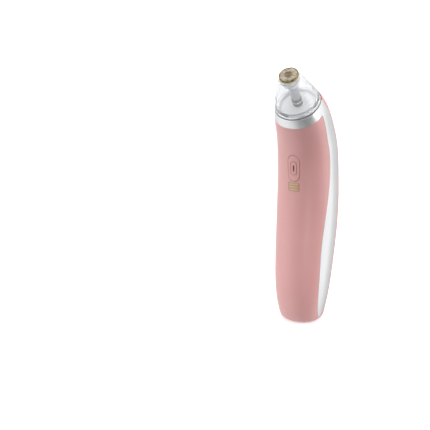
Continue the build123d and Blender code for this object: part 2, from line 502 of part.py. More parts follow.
for bx, bz in BOSSES:
    s = 1 if bx > 0 else -1
    z_top = 66.0 if bz > 40 else bz + 3.0
    z_low = bz - 3.0 if bz > 40 else 13.0
    carrier = carrier + box(min(s * (abs(bx) - 2.0), s * (abs(bx) + 3.4)), max(s * (abs(bx) - 2.0), s * (abs(bx) + 3.4)),
                            BOSS_Y - 1.6, BOSS_Y - 0.04, z_low, z_top)
carrier = carrier & room
carrier = carrier - rod(BATTERY_R + 0.3, BATTERY_Z0 - 0.5, BATTERY_Z1 + 0.5, y=BATTERY_Y)
carrier = carrier - box(-30, 30, -40, BOARD_Y1 + 0.02, 60, 120)
for bx, bz in BOSSES:
    carrier = carrier - rod_y(1.15, BOSS_Y - 4, BOSS_Y + 1, bx, bz)
for sx, sz in BOARD_SCREWS:
    carrier = carrier - rod_y(0.77, BOARD_Y1 - 1, -8.9, sx, sz)
keep("carrier", carrier)
keep("carrier_screws", *[
    rod_y(0.93, BOSS_Y - 1.7, BOSS_Y + 4.6, bx, bz) + rod_y(1.8, BOSS_Y - 2.7, BOSS_Y - 1.62, bx, bz) for bx, bz in BOSSES])

# ---------------------------------------------------------------- wires
WY = BOARD_Y1 + WIRE_R + 0.01
keep("battery_wires",
     swept([(-3.0, -4.0, BATTERY_Z1 + 0.76), (-3.0, WY, BATTERY_Z1 + 0.76), (-3.0, WY, 73.0)], 2.0, WIRE_R),
     swept([(3.0, -6.2, BATTERY_Z0 - 0.76), (3.0, WY, BATTERY_Z0 - 0.76), (3.0, WY, 73.0)], 2.0, WIRE_R))
keep("motor_wires", *[
    swept([(sx, PUMP_Y - 3.27, MOTOR_Z0 - 1.5), (sx, WY, MOTOR_Z0 - 1.5), (sx, WY, 73.0)], 1.6, WIRE_R) for sx in (-6.4, 6.4)])
keep("charge_wires", *[
    swept([(sx, -0.62, 9.6), (sx, WY, 9.6), (sx, WY, 71.5)], 3.0, WIRE_R) for sx in (-4.8, 4.8)])

# ---------------------------------------------------------------- write one file per piece
for name, shape in PARTS.items():
    export_step(shape, f"parts/{name}.step")
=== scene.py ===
import math
import random

import bmesh
import bpy
import numpy as np
from mathutils import Matrix, Vector


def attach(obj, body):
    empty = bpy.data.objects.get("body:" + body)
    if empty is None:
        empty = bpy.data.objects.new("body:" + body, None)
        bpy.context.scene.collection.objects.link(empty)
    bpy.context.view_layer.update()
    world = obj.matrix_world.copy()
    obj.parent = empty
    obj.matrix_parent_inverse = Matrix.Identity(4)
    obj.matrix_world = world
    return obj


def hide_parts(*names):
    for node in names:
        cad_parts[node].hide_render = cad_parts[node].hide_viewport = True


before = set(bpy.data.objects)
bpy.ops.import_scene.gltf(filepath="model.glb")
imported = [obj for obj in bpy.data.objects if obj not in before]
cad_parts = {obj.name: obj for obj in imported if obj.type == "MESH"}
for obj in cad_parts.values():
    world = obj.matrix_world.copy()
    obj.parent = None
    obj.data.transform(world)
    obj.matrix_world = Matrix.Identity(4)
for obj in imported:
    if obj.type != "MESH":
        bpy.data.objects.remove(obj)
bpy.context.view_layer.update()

MM = 0.001
scene = bpy.context.scene

# =====================================================================================================================
# camera: at the right of the front, a little above, the object slightly right of the middle
# =====================================================================================================================
AIM = Vector((0.0, -2.5, 85.0))
AZ, EL, DIST = math.radians(27.0), math.radians(18.0), 800.0
LENS = 103.8
PX = 1240.3                       # focal length in units of 1/430 of the frame
SHIFT_U, SHIFT_V = 88.6, 19.8     # where AIM lies from the middle of the frame, right and up


def make_camera():
    back = Vector((math.sin(AZ) * math.cos(EL), -math.cos(AZ) * math.cos(EL), math.sin(EL)))
    place = AIM + back * DIST
    right = Vector((math.cos(AZ), math.sin(AZ), 0.0))
    up = right.cross(-back).normalized()
    # the direction that the frame's middle looks along, so that AIM lands off the middle
    t = (-back) - right * (SHIFT_U / PX) - up * (SHIFT_V / PX)
    look = t.normalized()
    for _ in range(6):
        r = look.cross(Vector((0, 0, 1))).normalized()
        u = r.cross(look).normalized()
        d = -back
        f = d.dot(look)
        eu = SHIFT_U / PX - d.dot(r) / f
        ev = SHIFT_V / PX - d.dot(u) / f
        look = (look - r * eu - u * ev).normalized()
    r = look.cross(Vector((0, 0, 1))).normalized()
    u = r.cross(look).normalized()
    m = Matrix((r, u, -look)).transposed().to_4x4()
    m.translation = place * MM
    data = bpy.data.cameras.new("camera")
    data.lens = LENS
    data.sensor_width = 36.0
    data.clip_start = 0.01
    data.clip_end = 20.0
    cam = bpy.data.objects.new("camera", data)
    scene.collection.objects.link(cam)
    cam.matrix_world = m
    scene.camera = cam
    return cam


make_camera()

# =====================================================================================================================
# the grip's surface: a point for a height parameter v, an angle phi from the front, and a depth under the surface
# =====================================================================================================================
SECTIONS = np.array([
    (0.0, 0.0, 0, 13.6, 13.6),
    (5.0, -1.1, 0, 14.6, 14.6),
    (14.0, -1.25, 0, 16.3, 16.6),
    (34.0, 0.1, 0, 18.2, 18.7),
    (58.0, 2.5, 0, 19.2, 19.8),
    (82.0, 3.75, 1, 19.4, 20.0),
    (100.0, 3.2, 5, 19.05, 19.8),
    (117.0, 1.1, 13, 18.65, 19.2),
    (130.0, -3.1, 23, 17.8, 18.0),
    (142.94, -9.94, 33, 16.3, 16.4),
    (147.8, -13.1, 33, 14.9, 14.9)], float)
EXPONENT = 2.15
BASE_FILLET = 5.0
TILT = math.radians(33.0)
HEAD_O = np.array((0.0, -13.1, 147.8))
HEAD_N = np.array((0.0, -math.sin(TILT), math.cos(TILT)))
HEAD_E = np.array((0.0, math.cos(TILT), math.sin(TILT)))
SEAM_TIP = (-3.3, 3.0)
SEAM_FRONT = [SEAM_TIP, (-6.9, 9.2), (-8.5, 16.9), (-9.1, 29.6), (-8.9, 41.8), (-8.3, 53.3), (-6.9, 64.5),
              (-5.4, 74.9), (-3.9, 84.6), (-3.0, 92.7), (-2.65, 99.3), (-2.7, 107.9), (-3.7, 116.4), (-5.6, 124.1),
              (-8.3, 134.0), (-12.0, 143.4)]
SEAM_REAR = [SEAM_TIP, (-1.2, 6.0), (0.5, 10.0), (2.2, 17.0), (4.0, 30.0), (5.2, 42.0), (6.3, 53.0), (7.5, 65.0),
             (8.3, 75.0), (9.0, 85.0), (9.3, 96.0), (8.9, 108.0), (8.0, 116.0), (6.4, 124.0), (3.1, 134.0),
             (-2.5, 143.4), (-8.2, 151.0)]
V_BOTTOM = -3.2                   # where the rounded bottom edge meets the flat base
V_WALL = 6.5                      # above this v the surface is the plain loft
TAU = 2 * math.pi


def spline_slopes(t, y):
    """Second derivatives of the cubic spline through (t, y)."""
    n = len(t)
    a = np.zeros((n, n))
    b = np.zeros(y.shape)
    h = np.diff(t)
    for i in range(1, n - 1):
        a[i, i - 1] = h[i - 1]
        a[i, i] = 2 * (h[i - 1] + h[i])
        a[i, i + 1] = h[i]
        b[i] = 6 * ((y[i + 1] - y[i]) / h[i] - (y[i] - y[i - 1]) / h[i - 1])
    a[0, 0], a[0, 1], a[0, 2] = h[1], -(h[0] + h[1]), h[0]
    a[-1, -1], a[-1, -2], a[-1, -3] = h[-2], -(h[-1] + h[-2]), h[-1]
    return np.linalg.solve(a, b.reshape(n, -1)).reshape(y.shape)


def spline_at(t, y, m, x):
    x = np.asarray(x, float)
    i = np.clip(np.searchsorted(t, x, side="right") - 1, 0, len(t) - 2)
    h = t[i + 1] - t[i]
    a = (t[i + 1] - x) / h
    b = (x - t[i]) / h
    if y.ndim > 1:
        a, b, h = a[..., None], b[..., None], h[..., None]
    return a * y[i] + b * y[i + 1] + ((a ** 3 - a) * m[i] + (b ** 3 - b) * m[i + 1]) * h * h / 6


# the unit section: a closed smooth curve through 16 points of the superellipse, repeated to make it periodic
_ang = TAU * np.arange(-16, 33) / 16
_s, _c = np.sin(_ang), np.cos(_ang)
_unit = np.stack([np.sign(_s) * np.abs(_s) ** (2 / EXPONENT), -np.sign(_c) * np.abs(_c) ** (2 / EXPONENT)], -1)
_unit[np.abs(_unit) < 1e-6] = 0.0
_unit_m = spline_slopes(_ang, _unit)
_chord = np.r_[0, np.cumsum(np.hypot(np.diff(SECTIONS[:, 0]), np.diff(SECTIONS[:, 1])))]
V_END = _chord[-1]
V_COLLAR = _chord[-2]
_par = SECTIONS.copy()
_par[:, 2] = np.radians(_par[:, 2])
_par_m = spline_slopes(_chord, _par)


def raw_point(v, phi):
    v, phi = np.broadcast_arrays(np.asarray(v, float), np.asarray(phi, float))
    p = spline_at(_chord, _par, _par_m, np.clip(v, 0, V_END))
    u = spline_at(_ang, _unit, _unit_m, (phi + math.pi) % TAU - math.pi)
    q = u[..., 1] * p[..., 4]
    return np.stack([u[..., 0] * p[..., 3], p[..., 1] + q * np.cos(p[..., 2]), p[..., 0] + q * np.sin(p[..., 2])], -1)


def unit(a):
    return a / (np.linalg.norm(a, axis=-1, keepdims=True) + 1e-12)


def raw_normal(v, phi):
    e = 1e-3
    lo, hi = np.clip(v - 0.02, 0, V_END), np.clip(v + 0.02, 0, V_END)
    n = np.cross(raw_point(v, phi + e) - raw_point(v, phi - e), raw_point(hi, phi) - raw_point(lo, phi))
    return unit(n)


def surface(v, phi, off=0.0):
    """Points off mm under the grip's surface; below V_WALL v runs down the wall and round the bottom edge."""
    v, phi, off = (np.array(k, float) for k in np.broadcast_arrays(v, phi, off))
    corner = raw_point(0 * v, phi)
    tang = raw_point(0 * v, phi + 1e-3) - raw_point(0 * v, phi - 1e-3)
    h = np.stack([-tang[..., 1], tang[..., 0], 0 * v], -1)
    h = unit(h)
    w = unit(raw_point(0 * v + 3.0, phi) - corner)
    theta = np.arccos(np.clip((h * w).sum(-1), -1, 1))
    t = BASE_FILLET / np.tan(theta / 2)
    arc = BASE_FILLET * (math.pi - theta)
    d = np.clip((V_WALL - v) / (V_WALL - V_BOTTOM), 0, 1) * (V_WALL - t + arc)
    vv = np.where(v >= V_WALL, v, V_WALL - np.minimum(d, V_WALL - t))
    out = raw_point(vv, phi) - raw_normal(vv, phi) * off[..., None]
    s = np.clip((d - (V_WALL - t)) / arc, 0, 1)
    centre = corner + unit(h + w) * (BASE_FILLET / np.sin(theta / 2))[..., None]
    a = unit(corner + w * t[..., None] - centre)
    b = unit(corner + h * t[..., None] - centre)
    om = math.pi - theta
    dirn = (np.sin((1 - s) * om)[..., None] * a + np.sin(s * om)[..., None] * b) / np.sin(om)[..., None]
    arcp = centre + dirn * (BASE_FILLET - off)[..., None]
    return np.where((s > 0)[..., None], arcp, out)


def seam_curve(curve):
    c = np.array(curve, float)
    d = np.r_[0, np.cumsum(np.hypot(*np.diff(c, axis=0).T))]
    m = spline_slopes(d, c)
    pts = spline_at(d, c, m, np.linspace(0, d[-1], 800))
    step = pts[-1] - pts[-2]
    far = pts[-1] + step * 150
    z = np.r_[-8.0, pts[:, 1], far[1]]
    y = np.r_[-2.6, pts[:, 0], far[0]]
    return z, y


_front_seam, _rear_seam = seam_curve(SEAM_FRONT), seam_curve(SEAM_REAR)


def seam_angle(seam, shift, v):
    """The angle between the front and a seam, at each v."""
    v = np.atleast_1d(np.asarray(v, float))
    lo, hi = np.zeros_like(v), np.full_like(v, math.pi)
    for _ in range(44):
        mid = (lo + hi) / 2
        p = surface(v, mid)
        ahead = p[:, 1] < np.interp(p[:, 2], *seam) + shift
        lo, hi = np.where(ahead, mid, lo), np.where(ahead, hi, mid)
    return (lo + hi) / 2


# =====================================================================================================================
# mesh helpers
# =====================================================================================================================
def link(name, verts, faces):
    me = bpy.data.meshes.new(name)
    me.from_pydata([tuple(float(c) * MM for c in p) for p in verts], [], [tuple(int(i) for i in f) for f in faces])
    bm = bmesh.new()
    bm.from_mesh(me)
    bmesh.ops.remove_doubles(bm, verts=bm.verts, dist=2e-6)
    bmesh.ops.dissolve_degenerate(bm, edges=bm.edges, dist=1e-6)
    loose = [v for v in bm.verts if not v.link_faces]
    if loose:
        bmesh.ops.delete(bm, geom=loose, context="VERTS")
    bmesh.ops.recalc_face_normals(bm, faces=bm.faces)
    bm.to_mesh(me)
    bm.free()
    for p in me.polygons:
        p.use_smooth = True
    ob = bpy.data.objects.new(name, me)
    scene.collection.objects.link(ob)
    w = ob.modifiers.new("weighted", "WEIGHTED_NORMAL")
    w.mode = "FACE_AREA"
    w.weight = 60
    w.keep_sharp = False
    return ob


def inside(poly, x, y):
    """Which points lie inside a closed outline."""
    r = np.zeros(len(x), bool)
    n = len(poly)
    for i in range(n):
        x0, y0 = poly[i]
        x1, y1 = poly[(i + 1) % n]
        if y0 == y1:
            continue
        c = ((y0 > y) != (y1 > y)) & (x < (x1 - x0) * (y - y0) / (y1 - y0) + x0)
        r ^= c
    return r


def near(poly, x, y):
    """Distance of points from a closed outline."""
    best = np.full(len(x), 1e9)
    n = len(poly)
    for i in range(n):
        a, b = np.array(poly[i]), np.array(poly[(i + 1) % n])
        d = b - a
        L = d.dot(d) + 1e-12
        t = np.clip(((x - a[0]) * d[0] + (y - a[1]) * d[1]) / L, 0, 1)
        best = np.minimum(best, np.hypot(x - a[0] - t * d[0], y - a[1] - t * d[1]))
    return best


def fill(outer, holes, step, rings=()):
    """Triangles and quads over a flat outline with holes: (points, faces). The outline's points come first."""
    outer = [tuple(map(float, p)) for p in outer]
    holes = [[tuple(map(float, p)) for p in h] for h in holes]
    pts = list(outer)
    edges = [(i, (i + 1) % len(outer)) for i in range(len(outer))]
    for h in holes:
        base = len(pts)
        pts += h
        edges += [(base + i, base + (i + 1) % len(h)) for i in range(len(h))]
    fixed = len(pts)
    for ring in rings:
        x, y = np.array(ring).T
        ok = inside(outer, x, y) & (near(outer, x, y) > 0.3)
        for h in holes:
            ok &= ~inside(h, x, y) & (near(h, x, y) > 0.12)
        pts += [p for p, k in zip(ring, ok) if k]
    have = np.array(pts)
    lo, hi = have.min(0), have.max(0)
    nx, ny = max(2, int(round((hi[0] - lo[0]) / step))), max(2, int(round((hi[1] - lo[1]) / step)))
    gx, gy = np.meshgrid(np.linspace(lo[0], hi[0], nx + 1), np.linspace(lo[1], hi[1], ny + 1))
    x, y = gx.ravel(), gy.ravel()
    ok = inside(outer, x, y) & (near(outer, x, y) > 0.5 * step)
    for h in holes:
        ok &= ~inside(h, x, y) & (near(h, x, y) > 0.5 * step)
    x, y = x[ok], y[ok]
    if len(have) > fixed:
        extra = have[fixed:]
        ok = np.array([np.min(np.hypot(extra[:, 0] - a, extra[:, 1] - b)) > 0.5 * step for a, b in zip(x, y)], bool)
        x, y = x[ok], y[ok]
    pts += list(zip(x.tolist(), y.tolist()))
    from mathutils.geometry import delaunay_2d_cdt
    r = delaunay_2d_cdt([Vector(p) for p in pts], edges, [], 0, 1e-7)
    op = np.array([tuple(p) for p in r[0]])
    faces = [tuple(f) for f in r[2]]
    cen = np.array([op[list(f)].mean(0) for f in faces])
    ok = inside(outer, cen[:, 0], cen[:, 1])
    for h in holes:
        ok &= ~inside(h, cen[:, 0], cen[:, 1])
    faces = [f for f, k in zip(faces, ok) if k]
    out = []
    for f in faces:
        a, b, c = op[f[0]], op[f[1]], op[f[2]]
        area = (b[0] - a[0]) * (c[1] - a[1]) - (b[1] - a[1]) * (c[0] - a[0])
        if abs(area) < 1e-9:
            continue
        out.append(list(f) if area > 0 else [f[0], f[2], f[1]])
    # number the outline's points as given
    order = {}
    for i, src in enumerate(r[3]):
        for k in src:
            order[k] = i
    return op, pair_up(op, out), [order[i] for i in range(len(outer))]


def pair_up(op, tris):
    """Joins two triangles of one grid square into a quad where that is clean."""
    owner = {}
    for i, f in enumerate(tris):
        for a, b in zip(f, f[1:] + f[:1]):
            owner[(a, b)] = i
    used = [False] * len(tris)
    cand = []
    for (a, b), i in owner.items():
        j = owner.get((b, a))
        if j is None or i >= j:
            continue
        c = [k for k in tris[i] if k not in (a, b)][0]
        d = [k for k in tris[j] if k not in (a, b)][0]
        quad = [a, d, b, c]
        worst = 0
        for k in range(4):
            p, q, r = op[quad[k - 1]], op[quad[k]], op[quad[(k + 1) % 4]]
            u, w = p - q, r - q
            ang = math.degrees(math.acos(max(-1, min(1, float(u.dot(w) / (np.linalg.norm(u) * np.linalg.norm(w) + 1e-12))))))
            worst = max(worst, abs(ang - 90))
        if worst < 32:
            cand.append((worst, i, j, quad))
    cand.sort(key=lambda t: (t[0], t[1], t[2]))
    out = []
    for _, i, j, quad in cand:
        if used[i] or used[j]:
            continue
        used[i] = used[j] = True
        out.append(quad)
    return out + [f for f, u in zip(tris, used) if not u]


def boundary_loops(faces):
    nxt = {}
    seen = set()
    for f in faces:
        for a, b in zip(f, f[1:] + f[:1]):
            seen.add((a, b))
    for a, b in sorted(seen):
        if (b, a) not in seen:
            nxt.setdefault(a, []).append(b)
    loops = []
    while nxt:
        a = next(iter(nxt))
        loop = [a]
        while True:
            options = nxt.get(loop[-1])
            if not options:
                break
            b = options.pop()
            if not options:
                del nxt[loop[-1]]
            if b == loop[0]:
                break
            loop.append(b)
        loops.append(loop)
    return loops


def thick(name, place, count, faces, depth, edge=0.16):
    """A closed shell from a sheet. place(depths) gives the sheet's points that far under the surface; rims are rounded."""
    top = place(np.zeros(count))
    depth = np.broadcast_to(np.asarray(depth, float), (count,))
    neighbours = {}
    for f in faces:
        for a, b in zip(f, f[1:] + f[:1]):
            neighbours.setdefault(a, set()).add(b)
            neighbours.setdefault(b, set()).add(a)
    loops = boundary_loops(faces)
    rim = set(v for loop in loops for v in loop)
    inward = np.zeros((count, 3))
    for loop in loops:
        n = len(loop)
        normals = place(np.zeros(count))[loop] - place(np.full(count, 0.1))[loop]
        for i, v in enumerate(loop):
            t = unit(top[loop[(i + 1) % n]] - top[loop[i - 1]])
            inward[v] = unit(np.cross(unit(normals[i]), t))
    verts = [np.array(p) for p in top]
    for v in rim:
        verts[v] = top[v] + inward[v] * edge
    low = place(depth)
    base = len(verts)
    verts += [np.array(p) for p in low]
    out = [list(f) for f in faces] + [[base + i for i in reversed(f)] for f in faces]
    steps = [(0.62, 0.08), (0.29, 0.29), (0.08, 0.62), (0.0, 1.0)]
    levels = [place(np.full(count, edge * s[1])) for s in steps]
    for loop in loops:
        rings = [list(loop)]
        for (shrink, _), level in zip(steps, levels):
            start = len(verts)
            verts += [level[v] + inward[v] * edge * shrink for v in loop]
            rings.append(list(range(start, start + len(loop))))
        rings.append([base + v for v in loop])
        n = len(loop)
        for r0, r1 in zip(rings, rings[1:]):
            for i in range(n):
                j = (i + 1) % n
                out.append([r0[j], r0[i], r1[i], r1[j]])
    return link(name, verts, out)


def outline_pill(width, length, n):
    """n evenly spaced points round an upright pill, from the top middle, as (across, along)."""
    return outline_rect(width, length, width / 2 - 1e-6, n)


def outline_rect(w, h, r, n):
    per = 2 * (w - 2 * r) + 2 * (h - 2 * r) + TAU * r
    cx, cy = w / 2 - r, h / 2 - r
    parts = [("l", (0, h / 2), (cx, h / 2)), ("a", (cx, cy), 90), ("l", (w / 2, cy), (w / 2, -cy)), ("a", (cx, -cy), 0),
             ("l", (cx, -h / 2), (-cx, -h / 2)), ("a", (-cx, -cy), -90), ("l", (-w / 2, -cy), (-w / 2, cy)),
             ("a", (-cx, cy), 180), ("l", (-cx, h / 2), (0, h / 2))]
    pts = []
    for k in range(n):
        d = (k / n) * per
        for i, p in enumerate(parts):
            if p[0] == "l":
                ln = math.hypot(p[2][0] - p[1][0], p[2][1] - p[1][1])
                if d <= ln or i == len(parts) - 1:
                    f = min(1.0, d / ln) if ln > 1e-9 else 0.0
                    pts.append((p[1][0] + f * (p[2][0] - p[1][0]), p[1][1] + f * (p[2][1] - p[1][1])))
                    break
            else:
                ln = math.pi * r / 2
                if d <= ln:
                    a = math.radians(p[2]) - d / r
                    pts.append((p[1][0] + r * math.cos(a), p[1][1] + r * math.sin(a)))
                    break
            d -= ln
    return pts


class Spot:
    """A place on the grip where flat outlines are laid on the surface. turn is 0 at the front and pi at the rear."""

    def __init__(self, y, z, lean, turn=0.0):
        self.o = np.array((0.0, y, z))
        a = math.radians(lean)
        self.up = np.array((0.0, -math.sin(a), math.cos(a)))
        self.turn = turn

    def find(self, pts):
        pts = np.array(pts, float)
        sgn = 1.0 if self.turn == 0 else -1.0
        v = np.interp(self.o[2] + pts[:, 1], SECTIONS[:, 0], _chord)
        phi = self.turn + sgn * pts[:, 0] / 19.0

        def err(vv, pp):
            d = raw_point(vv, pp) - self.o
            return np.stack([d[:, 0] - pts[:, 0], d @ self.up - pts[:, 1]], -1)
        for _ in range(12):
            e = err(v, phi)
            dv = (err(v + 1e-3, phi) - e) / 1e-3
            dp = (err(v, phi + 1e-4) - err(v, phi - 1e-4)) / 2e-4
            det = dv[:, 0] * dp[:, 1] - dv[:, 1] * dp[:, 0]
            sv = (e[:, 0] * dp[:, 1] - e[:, 1] * dp[:, 0]) / det
            sp = (dv[:, 0] * e[:, 1] - dv[:, 1] * e[:, 0]) / det
            v = v - np.clip(sv, -3, 3)
            phi = phi - np.clip(sp, -0.2, 0.2)
        return v, phi


BUTTON = Spot(-17.1, 106.8, 7.0)
WINDOW = Spot(-16.3, 94.3, 3.0)
REAR = Spot(0.0, 122.0, 0.0, math.pi)
SCALE = 19.0                      # mm of flat sheet for one radian


def flat_coords(spot, pts):
    v, phi = spot.find(pts)
    return [(SCALE * (p - spot.turn), q) for p, q in zip(phi, v)]


def skin(name, outer, holes, rings, turn, depth, step=1.15, foot=None, foot_holes=(), edge=0.16):
    """A thick skin over an outline in the flat sheet; foot is the row of outline numbers that the flat base joins."""
    op, faces, order = fill(outer, holes, step, rings)
    kind = [(0, p[1], p[0] / SCALE + turn) for p in op]
    if foot is not None:
        row = [order[i] for i in foot]
        at = surface(op[row][:, 1], op[row][:, 0] / SCALE + turn)[:, :2]
        loop = [tuple(p) for p in at]
        bp, bf, bo = fill(loop if turn else loop, foot_holes, 1.6, [])
        remap = {}
        for i, j in zip(bo, row):
            remap[i] = j
        for i, p in enumerate(bp):
            if i not in remap:
                remap[i] = len(kind)
                kind.append((1, p[0], p[1]))
        faces = faces + [[remap[i] for i in reversed(f)] for f in bf]
    kind = np.array(kind)
    flat = kind[:, 0] == 1

    def place(off):
        out = surface(np.where(flat, 20.0, kind[:, 1]), np.where(flat, 0.0, kind[:, 2]), off)
        out[flat] = np.stack([kind[flat, 1], kind[flat, 2], off[flat]], -1)
        return out
    d = depth(kind[:, 1], flat) if callable(depth) else depth
    return thick(name, place, len(kind), faces, d, edge)


def spread(a, b, step):
    return np.linspace(a, b, max(2, int(abs(b - a) / step) + 1))


def make_front_shell():
    vt = V_COLLAR - 0.05
    v = np.unique(np.r_[spread(V_BOTTOM, V_WALL, 0.7), spread(V_WALL, vt, 1.15)])
    f = seam_angle(_front_seam, -0.05, v) * SCALE
    right = list(zip(f, v))
    top = [(x, vt) for x in spread(f[-1], -f[-1], 1.15)[1:-1]]
    left = [(-x, y) for x, y in reversed(right)]
    bottom = [(x, V_BOTTOM) for x in spread(-f[0], f[0], 1.0)[1:-1]]
    outer = right + top + left + bottom
    n = len(outer)
    nb = len(bottom)
    foot = [len(right) + len(top) + len(left) - 1] + list(range(n - nb, n)) + [0]
    pill = [outline_pill(8.4 + 2 * k, 17.6 + 2 * k, 120) for k in (0.0, 0.32, 0.75, 1.35)]
    slot = [outline_rect(7.8 + 2 * k, 5.8 + 2 * k, 0.9 + k, 84) for k in (0.0, 0.3, 0.7, 1.3)]
    holes = [flat_coords(BUTTON, pill[0]), flat_coords(WINDOW, slot[0])]
    rings = []
    for spot, other, group in ((BUTTON, holes[1], pill[1:]), (WINDOW, holes[0], slot[1:])):
        for k, o in enumerate(group):
            ring = flat_coords(spot, o[::(1, 1, 2)[k]])
            x, y = np.array(ring).T
            ok = near(other, x, y) > (0.25, 0.45, 0.9)[k]
            rings.append([p for p, q in zip(ring, ok) if q])
    # the two sets of rings must not run into each other in the narrow bridge
    first = [p for r in rings[:3] for p in r]
    fx = np.array(first)
    trimmed = []
    for r in rings[3:]:
        trimmed.append([p for p in r if np.min(np.hypot(fx[:, 0] - p[0], fx[:, 1] - p[1])) > 0.25])
    return skin("front_shell_skin", outer, holes, [r for r in rings[:3] + trimmed if r], 0.0, 2.0, foot=foot)


def make_rear_shell():
    v = np.unique(np.r_[spread(V_BOTTOM, V_WALL, 0.7), spread(V_WALL, V_END - 0.02, 1.15)])
    f = (seam_angle(_rear_seam, 0.05, v) - math.pi) * SCALE      # negative: the right side seen from behind is -
    a = list(zip(-f, v))
    top = [(x, v[-1]) for x in spread(-f[-1], f[-1], 1.15)[1:-1]]
    b = [(-x, y) for x, y in reversed(a)]
    bottom = [(x, V_BOTTOM) for x in spread(f[0], -f[0], 1.0)[1:-1]]
    outer = a + top + b + bottom
    n, nb = len(outer), len(bottom)
    foot = [len(a) + len(top) + len(b) - 1] + list(range(n - nb, n)) + [0]
    holes, rings = [], []
    for k in range(5):
        x = -4.8 + 2.4 * k
        holes.append(flat_coords(REAR, [(x + 0.6 * math.sin(t), 0.6 * math.cos(t)) for t in np.linspace(0, TAU, 25)[:-1]]))
        rings.append(flat_coords(REAR, [(x + 0.85 * math.sin(t), 0.85 * math.cos(t)) for t in np.linspace(0, TAU, 25)[:-1]]))
    port = [(x, y + 2.0) for x, y in outline_rect(9.3, 3.5, 1.7, 56)]

    def depth(vv, flat):
        return np.where(flat, 2.0, np.interp(vv, [V_COLLAR - 3.0, V_COLLAR - 0.9], [2.0, 0.8]))
    return skin("rear_shell_skin", outer, holes, rings, math.pi, depth, foot=foot, foot_holes=[port])


def make_trim():
    v0 = 3.25
    v = np.unique(np.r_[spread(v0, 16.0, 0.45), spread(16.0, V_COLLAR, 1.0)])
    f = seam_angle(_front_seam, 0.0, v) * SCALE
    v2 = np.unique(np.r_[spread(v0, 16.0, 0.45), spread(16.0, V_END, 1.0)])
    r = seam_angle(_rear_seam, 0.0, v2) * SCALE
    up_front = list(zip(f, v))
    low_collar = [(x, V_COLLAR) for x in spread(f[-1], -f[-1], 1.0)[1:-1]]
    down_front = [(-x, y) for x, y in reversed(up_front)]
    up_rear = [(-x, y) for x, y in zip(r, v2)]
    top = [(x, V_END) for x in spread(-r[-1], r[-1], 1.0)[1:-1]]
    down_rear = list(reversed([(x, y) for x, y in zip(r, v2)]))
    outer = up_front + low_collar + down_front + up_rear + top + down_rear
    return skin("trim_frame_skin", outer, [], [], 0.0, 1.55, step=1.0, edge=0.14)


# =====================================================================================================================
# pieces on the front: button, its inlay, status light and level window
# =====================================================================================================================
def stacked(name, spot, rings, caps=(True, True)):
    """Outlines of one point count joined one after another. Each ring is (outline, depth)."""
    verts, faces = [], []
    n = len(rings[0][0])
    for outline, off in rings:
        v, phi = spot.find(outline)
        off = np.broadcast_to(np.asarray(off, float), (n,))
        # deep points keep their place across the front: they go straight in
        top = surface(v, phi, np.minimum(off, 0.35))
        extra = np.maximum(off - 0.35, 0.0)
        inward = np.cross(np.array((1.0, 0, 0)), spot.up)
        inward = inward if inward[1] > 0 else -inward
        verts += list(top + extra[:, None] * inward)
    for r in range(len(rings) - 1):
        for i in range(n):
            j = (i + 1) % n
            faces.append([r * n + i, r * n + j, (r + 1) * n + j, (r + 1) * n + i])
    for end, r in ((caps[0], 0), (caps[1], len(rings) - 1)):
        if end:
            c = len(verts)
            verts.append(np.mean(verts[r * n:(r + 1) * n], axis=0))
            for i in range(n):
                faces.append([c, r * n + i, r * n + (i + 1) % n])
    return link(name, verts, faces)


def mix(a, b, t):
    return [(p[0] * (1 - t) + q[0] * t, p[1] * (1 - t) + q[1] * t) for p, q in zip(a, b)]


def make_button():
    n = 144

    def cap(d):
        return outline_pill(7.94 - 2 * d, 17.14 - 2 * d, n)

    def pocket(d):
        return outline_rect(4.2 + 2 * d, 9.0 + 2 * d, 1.5 + d, n)
    rings = [(cap(0.9), 2.2), (cap(0.0), 2.2), (cap(0.0), 0.9), (cap(0.0), 0.14), (cap(0.03), 0.0), (cap(0.1), -0.12),
             (cap(0.22), -0.2), (cap(0.4), -0.24), (cap(0.75), -0.25)]
    rings += [(mix(cap(0.75), pocket(0.45), t), -0.25 + 0.03 * math.sin(t * math.pi)) for t in (0.2, 0.4, 0.6, 0.8)]
    rings += [(pocket(0.45), -0.25), (pocket(0.22), -0.245), (pocket(0.1), -0.2), (pocket(0.03), -0.12), (pocket(0.0), 0.0),
              (pocket(0.0), 0.62), (pocket(-0.4), 0.62)]
    return stacked("button_cap_skin", BUTTON, rings)


def make_inlay():
    n = 120

    def pad(d):
        return outline_rect(3.84 - 2 * d, 8.64 - 2 * d, 1.34 - d, n)

    def slot(d):
        return outline_pill(0.9 + 2 * d, 4.1 + 2 * d, n)
    rings = [(slot(0.0), 0.55), (pad(0.0), 0.55), (pad(0.0), -0.02), (pad(0.05), -0.16), (pad(0.16), -0.27), (pad(0.36), -0.32)]
    rings += [(mix(pad(0.36), slot(0.22), t), -0.32 + 0.05 * math.sin(t * math.pi)) for t in (0.25, 0.5, 0.75)]
    rings += [(slot(0.22), -0.32), (slot(0.08), -0.29), (slot(0.0), -0.2), (slot(0.0), 0.55)]
    verts_ob = stacked("button_inlay_skin", BUTTON, rings, caps=(False, False))
    return verts_ob


def make_status():
    n = 72

    def slot(d):
        return outline_pill(0.84 - 2 * d, 4.04 - 2 * d, n)
    return stacked("status_light_skin", BUTTON, [(slot(0.0), 0.6), (slot(0.0), -0.04), (slot(0.05), -0.1), (slot(0.16), -0.13)])


